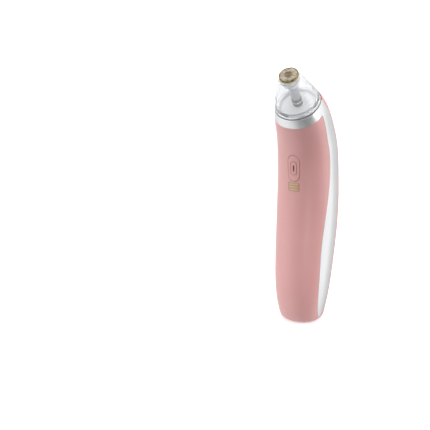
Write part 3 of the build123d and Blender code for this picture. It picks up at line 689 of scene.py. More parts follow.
def make_window():
    n = 96

    def lens(d):
        return outline_rect(7.68 - 2 * d, 5.68 - 2 * d, 0.84 - 0.8 * d, n)
    rings = [(lens(0.0), 1.6), (lens(0.0), 0.26), (lens(0.04), 0.17), (lens(0.12), 0.125), (lens(0.3), 0.12), (lens(1.0), 0.12)]
    parts = [stacked("level_window_skin", WINDOW, rings)]
    m = 40
    for k, dz in enumerate((-1.75, 0.0, 1.75)):
        def bar(d):
            return [(x, y + dz) for x, y in outline_rect(6.4 - 2 * d, 0.9 - 2 * d, 0.44 - d, m)]
        parts.append(stacked("level_bar_%d" % (k + 1), WINDOW,
                             [(bar(0.0), 0.26), (bar(0.0), 0.02), (bar(0.05), -0.06), (bar(0.16), -0.1)]))
    return parts


# =====================================================================================================================
# turned pieces on the head's axis
# =====================================================================================================================
def round_profile(pts, radii, steps=5):
    """A closed (radius, height) outline with its corners rounded."""
    out = []
    n = len(pts)
    for i in range(n):
        p, a, b = (np.array(q, float) for q in (pts[i], pts[i - 1], pts[(i + 1) % n]))
        r = radii[i] if isinstance(radii, (list, tuple)) else radii
        da, db = a - p, b - p
        la, lb = np.linalg.norm(da), np.linalg.norm(db)
        if r <= 0 or la < 1e-9 or lb < 1e-9:
            out.append(tuple(p))
            continue
        da, db = da / la, db / lb
        half = math.acos(max(-1.0, min(1.0, float(da.dot(db))))) / 2
        if half > math.pi / 2 - 0.06:
            out.append(tuple(p))
            continue
        cut = min(r / math.tan(half), la * 0.45, lb * 0.45)
        rr = cut * math.tan(half)
        c = p + unit(da + db) * (rr / math.sin(half))
        s, e = p + da * cut - c, p + db * cut - c
        a0, a1 = math.atan2(s[1], s[0]), math.atan2(e[1], e[0])
        d = (a1 - a0 + math.pi) % TAU - math.pi
        for k in range(steps + 1):
            t = a0 + d * k / steps
            out.append((c[0] + rr * math.cos(t), c[1] + rr * math.sin(t)))
    return out


def lathe(name, profile, segments=128, shape=None):
    """Closed solid of revolution about the head's axis of a closed (radius, height) outline."""
    verts, faces, idx = [], [], []
    for r, w in profile:
        if r < 1e-6:
            idx.append([len(verts)] * segments)
            verts.append((0.0, 0.0, w))
            continue
        row = []
        for k in range(segments):
            a = TAU * k / segments
            row.append(len(verts))
            verts.append((r * math.cos(a), r * math.sin(a), w))
        idx.append(row)
    n = len(profile)
    for i in range(n):
        r0, r1 = idx[i], idx[(i + 1) % n]
        if r0[0] == r0[-1] and r1[0] == r1[-1]:
            continue
        for k in range(segments):
            j = (k + 1) % segments
            f = []
            for q in (r0[k], r0[j], r1[j], r1[k]):
                if q not in f:
                    f.append(q)
            if len(f) > 2:
                faces.append(f)
    verts = np.array(verts)
    if shape is not None:
        verts = shape(verts)
    verts = HEAD_O + verts[:, :1] * np.array((1.0, 0, 0)) + verts[:, 1:2] * HEAD_E + verts[:, 2:] * HEAD_N
    return link(name, verts, faces)


def curve_through(pts, count):
    c = np.array(pts, float)
    d = np.r_[0, np.cumsum(np.hypot(*np.diff(c, axis=0).T))]
    return [tuple(p) for p in spline_at(d, c, spline_slopes(d, c), np.linspace(0, d[-1], count))]


def torus_profile(r, w, a, steps=20):
    return [(r + a * math.cos(TAU * k / steps), w + a * math.sin(TAU * k / steps)) for k in range(steps)]


def make_dome():
    outline = curve_through([(14.6, 0.95), (14.33, 2.2), (13.62, 5.0), (12.02, 10.0), (10.2, 15.0), (8.25, 19.8), (6.9, 22.3)], 42)
    within = curve_through([(11.3, 1.4), (12.15, 3.6), (11.5, 6.6), (10.55, 10.0), (8.75, 15.0), (7.35, 18.6), (6.3, 20.6)], 36)
    foot = [(14.32, 0.85), (14.45, 0.87), (14.55, 0.92)]
    lip = [(6.83, 22.46), (6.74, 22.56), (6.6, 22.6)]
    socket = round_profile([(6.6, 22.6), (4.0, 22.6), (4.0, 19.0), (2.91, 19.0), (2.91, 16.5), (5.0, 16.5), (5.0, 20.6), (6.3, 20.6)],
                           [0, 0.18, 0.12, 0.05, 0.08, 0.25, 0.5, 0], 4)[1:-1]
    skirt = round_profile([(11.3, 1.4), (11.3, -4.3), (12.5, -4.3), (12.5, -3.1), (11.75, -3.1), (11.75, -1.9), (12.5, -1.9),
                           (12.5, 0.85), (14.32, 0.85)], [0, 0.25, 0.25, 0.1, 0.1, 0.1, 0.1, 0.15, 0], 3)[1:-1]
    profile = foot + outline + lip + socket + list(reversed(within)) + skirt
    return lathe("head_dome_skin", profile, 160)


def make_grit():
    """Abrasive face: a fine ring whose top is covered in angular grains, all in one skin."""
    rows = [(2.6, 24.52), (5.46, 24.52), (5.46, 24.74)]
    top = [(5.44, 24.8)] + [(5.4 - 0.155 * k, 24.83 + 0.17 * min(1.0, k / 5.0)) for k in range(1, 17)] + [(2.78, 25.0), (2.66, 24.96), (2.6, 24.88)]
    rng = random.Random(11)
    segs = 220
    grains = []
    for _ in range(520):
        r = math.sqrt(rng.uniform(2.75 ** 2, 5.35 ** 2))
        grains.append((r, rng.uniform(0, TAU), rng.uniform(0.1, 0.24), rng.uniform(0.04, 0.12), rng.uniform(0, TAU), rng.uniform(0.5, 1.0)))
    g = np.array(grains)
    gx, gy = g[:, 0] * np.cos(g[:, 1]), g[:, 0] * np.sin(g[:, 1])

    def shape(v):
        out = v.copy()
        r = np.hypot(v[:, 0], v[:, 1])
        sel = np.where((v[:, 2] > 24.76) & (r > 2.65) & (r < 5.42))[0]
        for i in sel:
            dx, dy = v[i, 0] - gx, v[i, 1] - gy
            c, s = np.cos(g[:, 4]), np.sin(g[:, 4])
            u, w = np.abs(dx * c + dy * s), np.abs(-dx * s + dy * c) / g[:, 5]
            d = np.maximum(np.maximum(u, w), (u + w) * 0.75) / g[:, 2]
            h = np.clip(1.25 - d, 0, 1) * g[:, 3]
            out[i, 2] += min(float(h.max()), 0.115)
        out[:, 2] = np.minimum(out[:, 2], 25.11)
        return out
    ob = lathe("tip_grit_skin", rows + top, segs, shape)
    for m in list(ob.modifiers):
        ob.modifiers.remove(m)
    return ob


def make_head():
    out = {}
    out["head_dome"] = make_dome()
    out["suction_tube"] = lathe("suction_tube_skin", round_profile(
        [(1.6, 2.95), (2.3, 2.95), (2.3, 5.4), (2.9, 5.4), (2.9, 18.98), (1.6, 18.98)], [0.1, 0.15, 0.05, 0.3, 0.2, 0.2]), 96)
    out["filter_sleeve"] = lathe("filter_sleeve_skin", round_profile(
        [(2.05, -0.28), (3.1, -0.28), (3.2, -0.1), (3.2, 2.4), (2.9, 2.4), (2.9, 2.95), (3.2, 2.95), (3.2, 5.2), (3.05, 5.35),
         (2.36, 5.35), (2.36, 1.9), (2.05, 1.9)], [0.05, 0.05, 0.1, 0.08, 0.04, 0.04, 0.08, 0.08, 0.08, 0.1, 0.05, 0.05]), 96)
    out["sleeve_band"] = lathe("sleeve_band_skin", round_profile(
        [(2.92, 2.42), (3.28, 2.42), (3.28, 2.93), (2.92, 2.93)], [0.02, 0.1, 0.1, 0.02]), 96)
    out["filter_foam"] = lathe("filter_foam_skin", round_profile(
        [(0.0, 1.92), (2.32, 1.92), (2.32, 2.8), (1.2, 2.86), (0.0, 2.88)], [0, 0.12, 0.2, 0.3, 0]), 72)
    out["head_seat"] = lathe("head_seat_skin", round_profile(
        [(1.0, -9.0), (1.4, -9.0), (1.4, -2.1), (9.4, -2.1), (9.4, -6.6), (12.9, -6.6), (12.9, -5.6), (13.25, -5.6),
         (13.25, -0.05), (12.58, -0.05), (12.58, -4.7), (11.15, -4.7), (11.15, -0.3), (10.2, -0.3), (10.1, -0.45), (9.5, -0.45),
         (9.4, -0.3), (4.6, -0.3), (4.5, -0.42), (4.1, -0.42), (4.0, -0.3), (2.0, -0.3), (2.0, 1.8), (1.0, 1.8)],
        [0.1, 0.1, 0.2, 0.3, 0.2, 0.2, 0.1, 0.1, 0.12, 0.12, 0.2, 0.2, 0.3, 0.06, 0.05, 0.05, 0.06, 0.06, 0.05, 0.05, 0.06, 0.1, 0.1, 0.1], 3), 128)
    out["head_gasket"] = lathe("head_gasket_skin", round_profile(
        [(12.62, 0.01), (14.2, 0.01), (14.2, 0.6), (14.0, 0.8), (12.8, 0.8), (12.62, 0.6)], [0.05, 0.12, 0.1, 0.1, 0.1, 0.1]), 128)
    out["seat_oring"] = lathe("seat_oring_skin", torus_profile(12.155, -2.5, 0.395), 128)
    out["tip_oring"] = lathe("tip_oring_skin", torus_profile(3.69, 20.75, 0.265), 96)
    out["tip_base"] = lathe("tip_base_skin", round_profile(
        [(2.6, 19.1), (3.63, 19.1), (3.93, 19.5), (3.93, 20.4), (3.42, 20.4), (3.42, 21.1), (3.93, 21.1), (3.93, 22.65),
         (6.35, 22.65), (6.6, 22.85), (6.6, 23.2), (6.4, 23.4), (4.6, 23.4), (4.6, 24.2), (2.6, 24.2)],
        [0.1, 0.1, 0.1, 0.08, 0.06, 0.06, 0.08, 0.1, 0.12, 0.12, 0.12, 0.12, 0.05, 0.08, 0.08]), 128)
    out["tip_ring"] = lathe("tip_ring_skin", round_profile(
        [(4.65, 23.41), (5.95, 23.41), (6.2, 24.75), (6.05, 25.0), (5.65, 25.0), (5.5, 24.85), (5.5, 24.5), (2.6, 24.5),
         (2.6, 24.21), (4.65, 24.21)], [0.05, 0.12, 0.1, 0.1, 0.08, 0.06, 0.02, 0.02, 0.02, 0.02]), 128)
    out["tip_grit"] = make_grit()
    return out


# =====================================================================================================================
# materials
# =====================================================================================================================
def lin(*c):
    out = []
    for k in c:
        k /= 255.0
        out.append(k / 12.92 if k <= 0.04045 else ((k + 0.055) / 1.055) ** 2.4)
    return tuple(out)


def node(nt, kind, x, y, **values):
    n = nt.nodes.new(kind)
    n.location = (x, y)
    for k, v in values.items():
        setattr(n, k, v)
    return n


def make_material(slot, color, other=None, patch=90.0, rough=(0.3, 0.4), rough_scale=220.0, bump=0.12, bump_scale=2400.0,
                  depth=4e-6, wave=0.0, wave_scale=45.0, metallic=0.0, coat=0.0, coat_rough=0.08, ior=1.46, clear=0.0,
                  sub=0.0, speck=None, speck_scale=2500.0, speck_amount=0.0, pattern="noise", streak=None, sheen=0.0,
                  emission=0.0, spec=0.5, span=(0.3, 0.7)):
    """A moulded, turned or cast surface: colour in patches and specks, uneven gloss, grain in the bump, wide waviness."""
    m = bpy.data.materials.new("look_" + slot)
    m.use_nodes = True
    nt = m.node_tree
    nt.nodes.clear()
    out = node(nt, "ShaderNodeOutputMaterial", 900, 0)
    p = node(nt, "ShaderNodeBsdfPrincipled", 560, 0)
    L = nt.links.new
    L(p.outputs["BSDF"], out.inputs["Surface"])
    tc = node(nt, "ShaderNodeTexCoord", -1100, 0)
    if streak:
        mp = node(nt, "ShaderNodeMapping", -920, 0)
        mp.inputs["Scale"].default_value = streak
        L(tc.outputs["Object"], mp.inputs["Vector"])
        coord = mp.outputs["Vector"]
    else:
        coord = tc.outputs["Object"]
    # colour
    n1 = node(nt, "ShaderNodeTexNoise", -700, 300)
    n1.inputs["Scale"].default_value = patch
    n1.inputs["Detail"].default_value = 4.0
    n1.inputs["Roughness"].default_value = 0.6
    L(coord, n1.inputs["Vector"])
    r1 = node(nt, "ShaderNodeValToRGB", -480, 300)
    other = other or tuple(c * 0.93 for c in color)
    r1.color_ramp.elements[0].position = span[0]
    r1.color_ramp.elements[1].position = span[1]
    r1.color_ramp.elements[0].color = (*other, 1)
    r1.color_ramp.elements[1].color = (*color, 1)
    L(n1.outputs["Fac"], r1.inputs["Fac"])
    col = r1.outputs["Color"]
    if speck is not None:
        if pattern == "cells":
            t = node(nt, "ShaderNodeTexVoronoi", -700, 560)
            t.inputs["Scale"].default_value = speck_scale
            sp = node(nt, "ShaderNodeSeparateColor", -520, 560)
            L(coord, t.inputs["Vector"])
            L(t.outputs["Color"], sp.inputs["Color"])
            fac = sp.outputs["Red"]
        else:
            t = node(nt, "ShaderNodeTexNoise", -700, 560)
            t.inputs["Scale"].default_value = speck_scale
            t.inputs["Detail"].default_value = 2.0
            L(coord, t.inputs["Vector"])
            fac = t.outputs["Fac"]
        r2 = node(nt, "ShaderNodeMapRange", -340, 560)
        r2.inputs["From Min"].default_value = 0.45 if pattern == "noise" else 0.0
        r2.inputs["From Max"].default_value = 0.75 if pattern == "noise" else 1.0
        r2.inputs["To Min"].default_value = 0.0
        r2.inputs["To Max"].default_value = speck_amount
        L(fac, r2.inputs["Value"])
        mx = node(nt, "ShaderNodeMix", -140, 380, data_type="RGBA")
        L(r2.outputs["Result"], mx.inputs["Factor"])
        L(col, mx.inputs["A"])
        mx.inputs["B"].default_value = (*speck, 1)
        col = mx.outputs["Result"]
    L(col, p.inputs["Base Color"])
    # gloss
    n2 = node(nt, "ShaderNodeTexNoise", -700, 0)
    n2.inputs["Scale"].default_value = rough_scale
    n2.inputs["Detail"].default_value = 5.0
    n2.inputs["Roughness"].default_value = 0.65
    L(coord, n2.inputs["Vector"])
    r3 = node(nt, "ShaderNodeMapRange", -340, 0)
    r3.inputs["From Min"].default_value = 0.3
    r3.inputs["From Max"].default_value = 0.7
    r3.inputs["To Min"].default_value = rough[0]
    r3.inputs["To Max"].default_value = rough[1]
    L(n2.outputs["Fac"], r3.inputs["Value"])
    L(r3.outputs["Result"], p.inputs["Roughness"])
    # grain and waviness
    n3 = node(nt, "ShaderNodeTexNoise", -700, -300)
    n3.inputs["Scale"].default_value = bump_scale
    n3.inputs["Detail"].default_value = 3.0
    L(coord, n3.inputs["Vector"])
    b1 = node(nt, "ShaderNodeBump", 200, -300)
    b1.inputs["Strength"].default_value = bump
    b1.inputs["Distance"].default_value = depth
    L(n3.outputs["Fac"], b1.inputs["Height"])
    if wave > 0:
        n4 = node(nt, "ShaderNodeTexNoise", -700, -560)
        n4.inputs["Scale"].default_value = wave_scale
        n4.inputs["Detail"].default_value = 1.0
        L(tc.outputs["Object"], n4.inputs["Vector"])
        b2 = node(nt, "ShaderNodeBump", 0, -560)
        b2.inputs["Strength"].default_value = 1.0
        b2.inputs["Distance"].default_value = wave
        L(n4.outputs["Fac"], b2.inputs["Height"])
        L(b2.outputs["Normal"], b1.inputs["Normal"])
    L(b1.outputs["Normal"], p.inputs["Normal"])
    p.inputs["Metallic"].default_value = metallic
    p.inputs["IOR"].default_value = ior
    p.inputs["Specular IOR Level"].default_value = spec
    p.inputs["Coat Weight"].default_value = coat
    p.inputs["Coat Roughness"].default_value = coat_rough
    p.inputs["Transmission Weight"].default_value = clear
    p.inputs["Subsurface Weight"].default_value = sub
    p.inputs["Subsurface Radius"].default_value = (1.0, 0.6, 0.4)
    p.inputs["Subsurface Scale"].default_value = 0.0012
    p.inputs["Sheen Weight"].default_value = sheen
    if emission:
        L(col, p.inputs["Emission Color"])
        p.inputs["Emission Strength"].default_value = emission
    return m


LOOK = {
    "shell_pink": dict(color=lin(226, 170, 168), other=lin(223, 166, 164), patch=55, rough=(0.27, 0.36), rough_scale=260,
                       bump=0.35, bump_scale=3200, depth=5e-6, wave=4e-6, wave_scale=60, coat=0.22, coat_rough=0.16,
                       speck=lin(231, 176, 172), speck_scale=4200, speck_amount=0.12, sub=0.05),
    "button_pink": dict(color=lin(227, 172, 170), other=lin(223, 167, 165), patch=180, rough=(0.28, 0.38), rough_scale=420,
                        bump=0.4, bump_scale=3600, depth=5e-6, coat=0.2, coat_rough=0.16,
                        speck=lin(232, 180, 176), speck_scale=4800, speck_amount=0.12, sub=0.05),
    "band_white": dict(color=lin(236, 236, 237), other=lin(230, 231, 233), patch=60, rough=(0.10, 0.19), rough_scale=300,
                       bump=0.2, bump_scale=2600, depth=3e-6, wave=3e-6, wave_scale=70, metallic=0.45, coat=0.8,
                       coat_rough=0.06, speck=lin(250, 250, 252), speck_scale=9000, speck_amount=0.22, pattern="cells"),
    "seat_white": dict(color=lin(240, 240, 240), other=lin(234, 235, 236), patch=120, rough=(0.22, 0.34), rough_scale=420,
                       bump=0.3, bump_scale=2800, depth=5e-6, coat=0.3, speck=lin(242, 242, 242), speck_scale=5000,
                       speck_amount=0.15),
    "clear": dict(color=lin(248, 248, 249), other=lin(243, 244, 246), patch=80, rough=(0.02, 0.05), rough_scale=500,
                  bump=0.05, bump_scale=900, depth=2e-6, wave=1.2e-6, wave_scale=160, clear=0.80, ior=1.34),
    "tube_grey": dict(color=lin(160, 161, 163), other=lin(140, 142, 145), patch=240, rough=(0.2, 0.32), rough_scale=500,
                      bump=0.3, bump_scale=3000, depth=5e-6, coat=0.4, speck=lin(180, 181, 183), speck_scale=4200,
                      speck_amount=0.2),
    "dark_rubber": dict(color=lin(52, 53, 55), other=lin(42, 43, 45), patch=300, rough=(0.42, 0.6), rough_scale=700,
                        bump=0.5, bump_scale=4200, depth=8e-6, speck=lin(70, 71, 73), speck_scale=6000, speck_amount=0.25),
    "cream": dict(color=lin(237, 232, 212), other=lin(230, 223, 200), patch=300, rough=(0.22, 0.36), rough_scale=600,
                  bump=0.3, bump_scale=3200, depth=4e-6, coat=0.25, sub=0.12, speck=lin(244, 240, 226), speck_scale=5200,
                  speck_amount=0.2),
    "gold": dict(color=lin(160, 147, 114), other=lin(92, 82, 60), patch=420, span=(0.4, 0.6), rough=(0.2, 0.38), rough_scale=900,
                 bump=0.5, bump_scale=3600, depth=8e-6, metallic=1.0, speck=lin(196, 182, 144), speck_scale=3200,
                 speck_amount=0.4),
    "grit": dict(color=lin(196, 180, 156), other=lin(86, 64, 48), patch=760, span=(0.42, 0.58), rough=(0.25, 0.6), rough_scale=3200,
                 bump=1.0, bump_scale=5200, depth=5e-5, metallic=0.3, speck=lin(214, 202, 182), speck_scale=3000,
                 speck_amount=0.7, pattern="cells"),
    "amber": dict(color=lin(208, 168, 138), other=lin(200, 156, 124), patch=420, rough=(0.14, 0.24), rough_scale=800,
                  bump=0.25, bump_scale=2600, depth=4e-6, coat=0.5, sub=0.2, speck=lin(220, 186, 154), speck_scale=3800,
                  speck_amount=0.2),
    "foam": dict(color=lin(72, 72, 76), other=lin(54, 54, 58), patch=700, rough=(0.75, 0.95), rough_scale=1500, bump=1.0,
                 bump_scale=2600, depth=1.2e-4, speck=lin(96, 96, 100), speck_scale=3800, speck_amount=0.5),
    "foam_white": dict(color=lin(226, 226, 222), other=lin(206, 206, 202), patch=800, rough=(0.75, 0.95), rough_scale=1500,
                       bump=1.0, bump_scale=3200, depth=1.2e-4, speck=lin(240, 240, 238), speck_scale=4200,
                       speck_amount=0.5),
    "pcb": dict(color=lin(22, 92, 58), other=lin(16, 76, 48), patch=260, rough=(0.22, 0.36), rough_scale=700, bump=0.5,
                bump_scale=1400, depth=2.5e-5, coat=0.4, speck=lin(46, 124, 84), speck_scale=1500, speck_amount=0.5,
                pattern="cells"),
    "chip": dict(color=lin(36, 36, 39), other=lin(27, 27, 30), patch=600, rough=(0.35, 0.5), rough_scale=900, bump=0.5,
                 bump_scale=5200, depth=8e-6, speck=lin(58, 58, 62), speck_scale=6800, speck_amount=0.3),
    "steel": dict(color=lin(190, 192, 196), other=lin(168, 170, 175), patch=500, rough=(0.18, 0.34), rough_scale=900,
                  bump=0.4, bump_scale=2600, depth=8e-6, metallic=1.0, streak=(1.0, 1.0, 0.15), speck=lin(206, 208, 212),
                  speck_scale=3200, speck_amount=0.3),
    "can_steel": dict(color=lin(176, 178, 180), other=lin(154, 156, 160), patch=200, rough=(0.24, 0.4), rough_scale=900,
                      bump=0.4, bump_scale=2200, depth=8e-6, metallic=1.0, streak=(1.0, 1.0, 0.12), speck=lin(198, 200, 204),
                      speck_scale=2600, speck_amount=0.35),
    "copper": dict(color=lin(196, 112, 66), other=lin(166, 84, 46), patch=700, rough=(0.2, 0.36), rough_scale=1400, bump=1.0,
                   bump_scale=3600, depth=7e-5, metallic=1.0, streak=(0.25, 0.25, 1.0), coat=0.3, speck=lin(220, 142, 90),
                   speck_scale=4200, speck_amount=0.4),
    "magnet": dict(color=lin(78, 76, 78), other=lin(60, 58, 60), patch=600, rough=(0.45, 0.62), rough_scale=1200, bump=0.7,
                   bump_scale=4200, depth=2e-5, metallic=0.6, speck=lin(108, 104, 106), speck_scale=5200, speck_amount=0.4),
    "nylon": dict(color=lin(228, 225, 214), other=lin(216, 212, 200), patch=260, rough=(0.36, 0.5), rough_scale=700,
                  bump=0.4, bump_scale=3200, depth=8e-6, sub=0.12, speck=lin(238, 236, 228), speck_scale=4800,
                  speck_amount=0.25),
    "pump_grey": dict(color=lin(120, 124, 130), other=lin(106, 110, 116), patch=240, rough=(0.34, 0.48), rough_scale=700,
                      bump=0.5, bump_scale=2800, depth=1e-5, speck=lin(140, 144, 150), speck_scale=4200, speck_amount=0.3),
    "silicone": dict(color=lin(222, 222, 220), other=lin(208, 208, 206), patch=260, rough=(0.36, 0.52), rough_scale=800,
                     bump=0.4, bump_scale=3600, depth=6e-6, sub=0.2, speck=lin(234, 234, 232), speck_scale=5200,
                     speck_amount=0.25),
    "carrier_plastic": dict(color=lin(206, 206, 204), other=lin(192, 192, 190), patch=120, rough=(0.4, 0.54), rough_scale=500,
                            bump=0.5, bump_scale=2600, depth=1e-5, speck=lin(218, 218, 216), speck_scale=4200,
                            speck_amount=0.25),
    "cell": dict(color=lin(70, 128, 176), other=lin(56, 112, 160), patch=120, rough=(0.2, 0.32), rough_scale=500, bump=0.5,
                 bump_scale=900, depth=2e-5, coat=0.4, streak=(1.0, 1.0, 0.3), speck=lin(92, 148, 194), speck_scale=2200,
                 speck_amount=0.3),
    "nickel": dict(color=lin(198, 194, 182), other=lin(178, 174, 162), patch=600, rough=(0.2, 0.34), rough_scale=1200,
                   bump=0.4, bump_scale=2600, depth=8e-6, metallic=1.0, speck=lin(214, 210, 200), speck_scale=3600,
                   speck_amount=0.3),
    "led": dict(color=lin(238, 222, 164), other=lin(230, 208, 140), patch=900, rough=(0.2, 0.3), rough_scale=1200, bump=0.3,
                bump_scale=3200, depth=6e-6, sub=0.2, speck=lin(246, 236, 196), speck_scale=4800, speck_amount=0.3),
    "wire": dict(color=lin(176, 40, 40), other=lin(154, 30, 32), patch=400, rough=(0.34, 0.48), rough_scale=900, bump=0.4,
                 bump_scale=3200, depth=8e-6, speck=lin(196, 66, 62), speck_scale=4800, speck_amount=0.25),
}
# two looks that only pieces of their own use
EXTRA = {
    "slit": dict(color=lin(74, 52, 50), other=lin(58, 40, 40), patch=900, rough=(0.16, 0.28), rough_scale=1600, bump=0.3,
                 bump_scale=3600, depth=5e-6, coat=0.4, speck=lin(96, 68, 64), speck_scale=5200, speck_amount=0.3),
    "bar": dict(color=lin(224, 192, 158), other=lin(216, 180, 144), patch=700, rough=(0.18, 0.3), rough_scale=1200, bump=0.3,
                bump_scale=3200, depth=5e-6, coat=0.4, sub=0.2, speck=lin(234, 206, 176), speck_scale=4800,
                speck_amount=0.25),
    "gasket": dict(color=lin(186, 188, 190), other=lin(174, 176, 178), patch=300, rough=(0.22, 0.36), rough_scale=700,
                   bump=0.4, bump_scale=4200, depth=6e-6, coat=0.3, speck=lin(196, 198, 200), speck_scale=6000,
                   speck_amount=0.25),
}
MATS = {k: make_material(k, **v) for k, v in LOOK.items()}
MATS.update({k: make_material(k, **v) for k, v in EXTRA.items()})


def let_lamps_through(m, tint):
    """Clear plastic: rays from lamps pass it, a little dimmed, so that what it encloses is lit."""
    nt = m.node_tree
    out = [n for n in nt.nodes if n.type == "OUTPUT_MATERIAL"][0]
    p = [n for n in nt.nodes if n.type == "BSDF_PRINCIPLED"][0]
    lp = node(nt, "ShaderNodeLightPath", 560, 320)
    tr = node(nt, "ShaderNodeBsdfTransparent", 560, -420)
    tr.inputs["Color"].default_value = (*tint, 1)
    mx = node(nt, "ShaderNodeMixShader", 760, 0)
    nt.links.new(lp.outputs["Is Shadow Ray"], mx.inputs["Fac"])
    nt.links.new(p.outputs["BSDF"], mx.inputs[1])
    nt.links.new(tr.outputs["BSDF"], mx.inputs[2])
    nt.links.new(mx.outputs["Shader"], out.inputs["Surface"])


let_lamps_through(MATS["clear"], (0.94, 0.95, 0.95))

# every CAD node that stays gets the finished look of its slot
for name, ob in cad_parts.items():
    for i, s in enumerate(ob.material_slots):
        if s.material and s.material.name.split(".")[0] in LOOK:
            s.material = MATS[s.material.name.split(".")[0]]


# =====================================================================================================================
# the visible pieces
# =====================================================================================================================
def wear(ob, slot, body, nodes=(), look=None):
    ob.data.materials.clear()
    ob.data.materials.append(MATS[look or slot])
    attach(ob, body)
    if nodes:
        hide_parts(*nodes)
    return ob


wear(make_front_shell(), "shell_pink", "grip", ["front_shell"])
wear(make_rear_shell(), "shell_pink", "grip", ["rear_shell"])
wear(make_trim(), "band_white", "grip", ["trim_frame"])
wear(make_button(), "button_pink", "button", ["button_cap"])
wear(make_inlay(), "button_pink", "button", ["button_inlay"])
wear(make_status(), "chip", "button", ["status_light"], look="slit")
window = make_window()
wear(window[0], "amber", "grip", ["level_window"])
for bar in window[1:]:
    wear(bar, "amber", "grip", look="bar")
head = make_head()
for name, slot, body in (("head_seat", "seat_white", "grip"), ("filter_sleeve", "dark_rubber", "grip"),
                         ("sleeve_band", "seat_white", "grip"), ("filter_foam", "foam_white", "grip"),
                         ("head_dome", "clear", "head"), ("suction_tube", "tube_grey", "head"), ("seat_oring", "silicone", "head"),
                         ("tip_base", "cream", "tip"), ("tip_ring", "gold", "tip"), ("tip_grit", "grit", "tip"),
                         ("tip_oring", "silicone", "tip")):
    wear(head[name], slot, body, [name])
wear(head["head_gasket"], "dark_rubber", "grip", ["head_gasket"], look="gasket")

# =====================================================================================================================
# floor and light
# =====================================================================================================================
def make_floor():
    bm = bmesh.new()
    n = 24
    grid = []
    for i in range(n + 1):
        row = []
        for j in range(n + 1):
            row.append(bm.verts.new((-6 + 12 * i / n, -6 + 12 * j / n, -0.0001)))
        grid.append(row)
    for i in range(n):
        for j in range(n):
            bm.faces.new((grid[i][j], grid[i + 1][j], grid[i + 1][j + 1], grid[i][j + 1]))
    me = bpy.data.meshes.new("floor")
    bm.to_mesh(me)
    bm.free()
    ob = bpy.data.objects.new("floor", me)
    scene.collection.objects.link(ob)
    m = bpy.data.materials.new("floor")
    m.use_nodes = True
    nt = m.node_tree
    p = nt.nodes["Principled BSDF"]
    tc = node(nt, "ShaderNodeTexCoord", -800, 0)
    no = node(nt, "ShaderNodeTexNoise", -600, 0)
    no.inputs["Scale"].default_value = 3.0
    ramp = node(nt, "ShaderNodeValToRGB", -380, 0)
    ramp.color_ramp.elements[0].color = (0.93, 0.93, 0.93, 1)
    ramp.color_ramp.elements[1].color = (0.96, 0.96, 0.96, 1)
    nt.links.new(tc.outputs["Object"], no.inputs["Vector"])
    nt.links.new(no.outputs["Fac"], ramp.inputs["Fac"])
    nt.links.new(ramp.outputs["Color"], p.inputs["Base Color"])
    p.inputs["Roughness"].default_value = 0.9
    p.inputs["Specular IOR Level"].default_value = 0.1
    p.inputs["Emission Color"].default_value = (1.0, 1.0, 1.0, 1.0)
    far = node(nt, "ShaderNodeVectorMath", -600, -300, operation="LENGTH")
    nt.links.new(tc.outputs["Object"], far.inputs[0])
    grow = node(nt, "ShaderNodeMapRange", -380, -300, interpolation_type="SMOOTHSTEP")
    grow.inputs["From Min"].default_value = 0.15
    grow.inputs["From Max"].default_value = 2.4
    grow.inputs["To Min"].default_value = 0.34
    grow.inputs["To Max"].default_value = 0.62
    nt.links.new(far.outputs["Value"], grow.inputs["Value"])
    nt.links.new(grow.outputs["Result"], p.inputs["Emission Strength"])
    me.materials.append(m)
    # the white floor is a backdrop: the studio around it, not the floor, is what the object mirrors from below
    ob.visible_diffuse = False
    ob.visible_glossy = False


make_floor()


def softbox(name, place, target, size, power, color=(1, 1, 1)):
    data = bpy.data.lights.new(name, "AREA")
    data.shape = "RECTANGLE"
    data.size, data.size_y = size
    data.energy = power
    data.color = color
    ob = bpy.data.objects.new(name, data)
    scene.collection.objects.link(ob)
    place, target = Vector(place), Vector(target)
    ob.visible_camera = False
    ob.matrix_world = Matrix.Translation(place) @ (place - target).to_track_quat("Z", "Y").to_matrix().to_4x4()
    return ob


def on_circle(az, dist, z):
    a = math.radians(az)
    return (math.sin(a) * dist, -math.cos(a) * dist, z)


MIDDLE = (0.0, 0.0, 0.09)
softbox("left_box", on_circle(-48, 0.62, 0.30), MIDDLE, (0.34, 0.75), 0.95)
softbox("right_box", on_circle(104, 0.62, 0.30), MIDDLE, (0.34, 0.75), 1.6)
softbox("top_box", (0.0, 0.05, 0.85), MIDDLE, (0.5, 0.5), 0.9)
softbox("rear_box", on_circle(205, 0.75, 0.35), MIDDLE, (0.5, 0.5), 0.6)

low_box = softbox("low_box", on_circle(30, 0.36, 0.04), (0.0, 0.0, 0.02), (0.22, 0.10), 0.026)
low_box.data.spread = math.radians(44)

# the studio around the object: (azimuth from the front, elevation, inner and outer radius in degrees, change of strength)
STUDIO_HIGH, STUDIO_LOW = 1.05, 0.86
LOBES = [
    (27.0, 4.0, 10.0, 74.0, -0.64),       # the side the camera looks from is unlit
    (22.0, -38.0, 12.0, 55.0, -0.30),     # and darker still from below
    (76.0, -32.0, 8.0, 30.0, -0.52),      # a dark gap low on the right
    (-50.0, -42.0, 15.0, 50.0, 0.34),     # a low white card on the left
    (118.0, -8.0, 10.0, 34.0, 0.30),      # a white card on the right, towards the back
    (176.0, -14.0, 10.0, 42.0, -0.34),
]


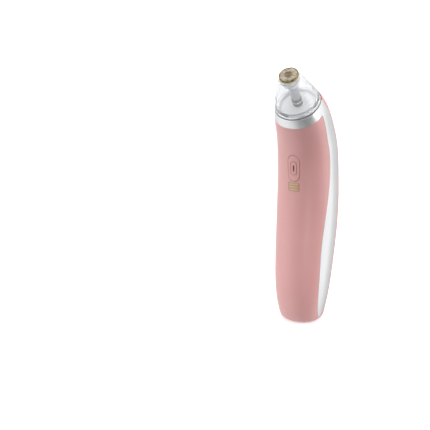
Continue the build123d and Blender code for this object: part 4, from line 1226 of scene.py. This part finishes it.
def make_world():
    """A white studio all round, darker towards the side where the middle of the front looks."""
    w = bpy.data.worlds.new("studio")
    scene.world = w
    w.use_nodes = True
    nt = w.node_tree
    nt.nodes.clear()
    L = nt.links.new
    out = node(nt, "ShaderNodeOutputWorld", 900, 0)
    bg = node(nt, "ShaderNodeBackground", 700, 0)
    tc = node(nt, "ShaderNodeTexCoord", -900, 0)
    sep = node(nt, "ShaderNodeSeparateXYZ", -700, 300)
    L(tc.outputs["Generated"], sep.inputs["Vector"])
    up = node(nt, "ShaderNodeMapRange", -500, 300, interpolation_type="SMOOTHSTEP")
    up.inputs["From Min"].default_value = -0.25
    up.inputs["From Max"].default_value = 0.25
    up.inputs["To Min"].default_value = STUDIO_LOW
    up.inputs["To Max"].default_value = STUDIO_HIGH
    L(sep.outputs["Z"], up.inputs["Value"])
    total = up.outputs["Result"]
    for k, (az, el, inner, outer, change) in enumerate(LOBES):
        a, e = math.radians(az), math.radians(el)
        dot = node(nt, "ShaderNodeVectorMath", -500, -200 * k, operation="DOT_PRODUCT")
        dot.inputs[1].default_value = (math.sin(a) * math.cos(e), -math.cos(a) * math.cos(e), math.sin(e))
        mr = node(nt, "ShaderNodeMapRange", -300, -200 * k, interpolation_type="SMOOTHSTEP")
        mr.inputs["From Min"].default_value = math.cos(math.radians(outer))
        mr.inputs["From Max"].default_value = math.cos(math.radians(inner))
        mr.inputs["To Min"].default_value = 0.0
        mr.inputs["To Max"].default_value = change
        add = node(nt, "ShaderNodeMath", -80 + 60 * k, -200 * k, operation="ADD")
        L(tc.outputs["Generated"], dot.inputs[0])
        L(dot.outputs["Value"], mr.inputs["Value"])
        L(total, add.inputs[0])
        L(mr.outputs["Result"], add.inputs[1])
        total = add.outputs["Value"]
    cap = node(nt, "ShaderNodeMath", 480, 0, operation="MAXIMUM")
    cap.inputs[1].default_value = 0.02
    L(total, cap.inputs[0])
    L(cap.outputs["Value"], bg.inputs["Strength"])
    bg.inputs["Color"].default_value = (1, 1, 1, 1)
    # the camera itself sees plain white behind the floor
    plain_bg = node(nt, "ShaderNodeBackground", 700, -200)
    plain_bg.inputs["Color"].default_value = (1, 1, 1, 1)
    plain_bg.inputs["Strength"].default_value = 1.0
    lp = node(nt, "ShaderNodeLightPath", 500, 300)
    ms = node(nt, "ShaderNodeMixShader", 820, 0)
    L(lp.outputs["Is Camera Ray"], ms.inputs["Fac"])
    L(bg.outputs["Background"], ms.inputs[1])
    L(plain_bg.outputs["Background"], ms.inputs[2])
    L(ms.outputs["Shader"], out.inputs["Surface"])


make_world()
scene.view_settings.view_transform = "Standard"
scene.view_settings.look = "None"
scene.view_settings.exposure = 0.0
scene.view_settings.gamma = 1.0

bpy.context.view_layer.update()
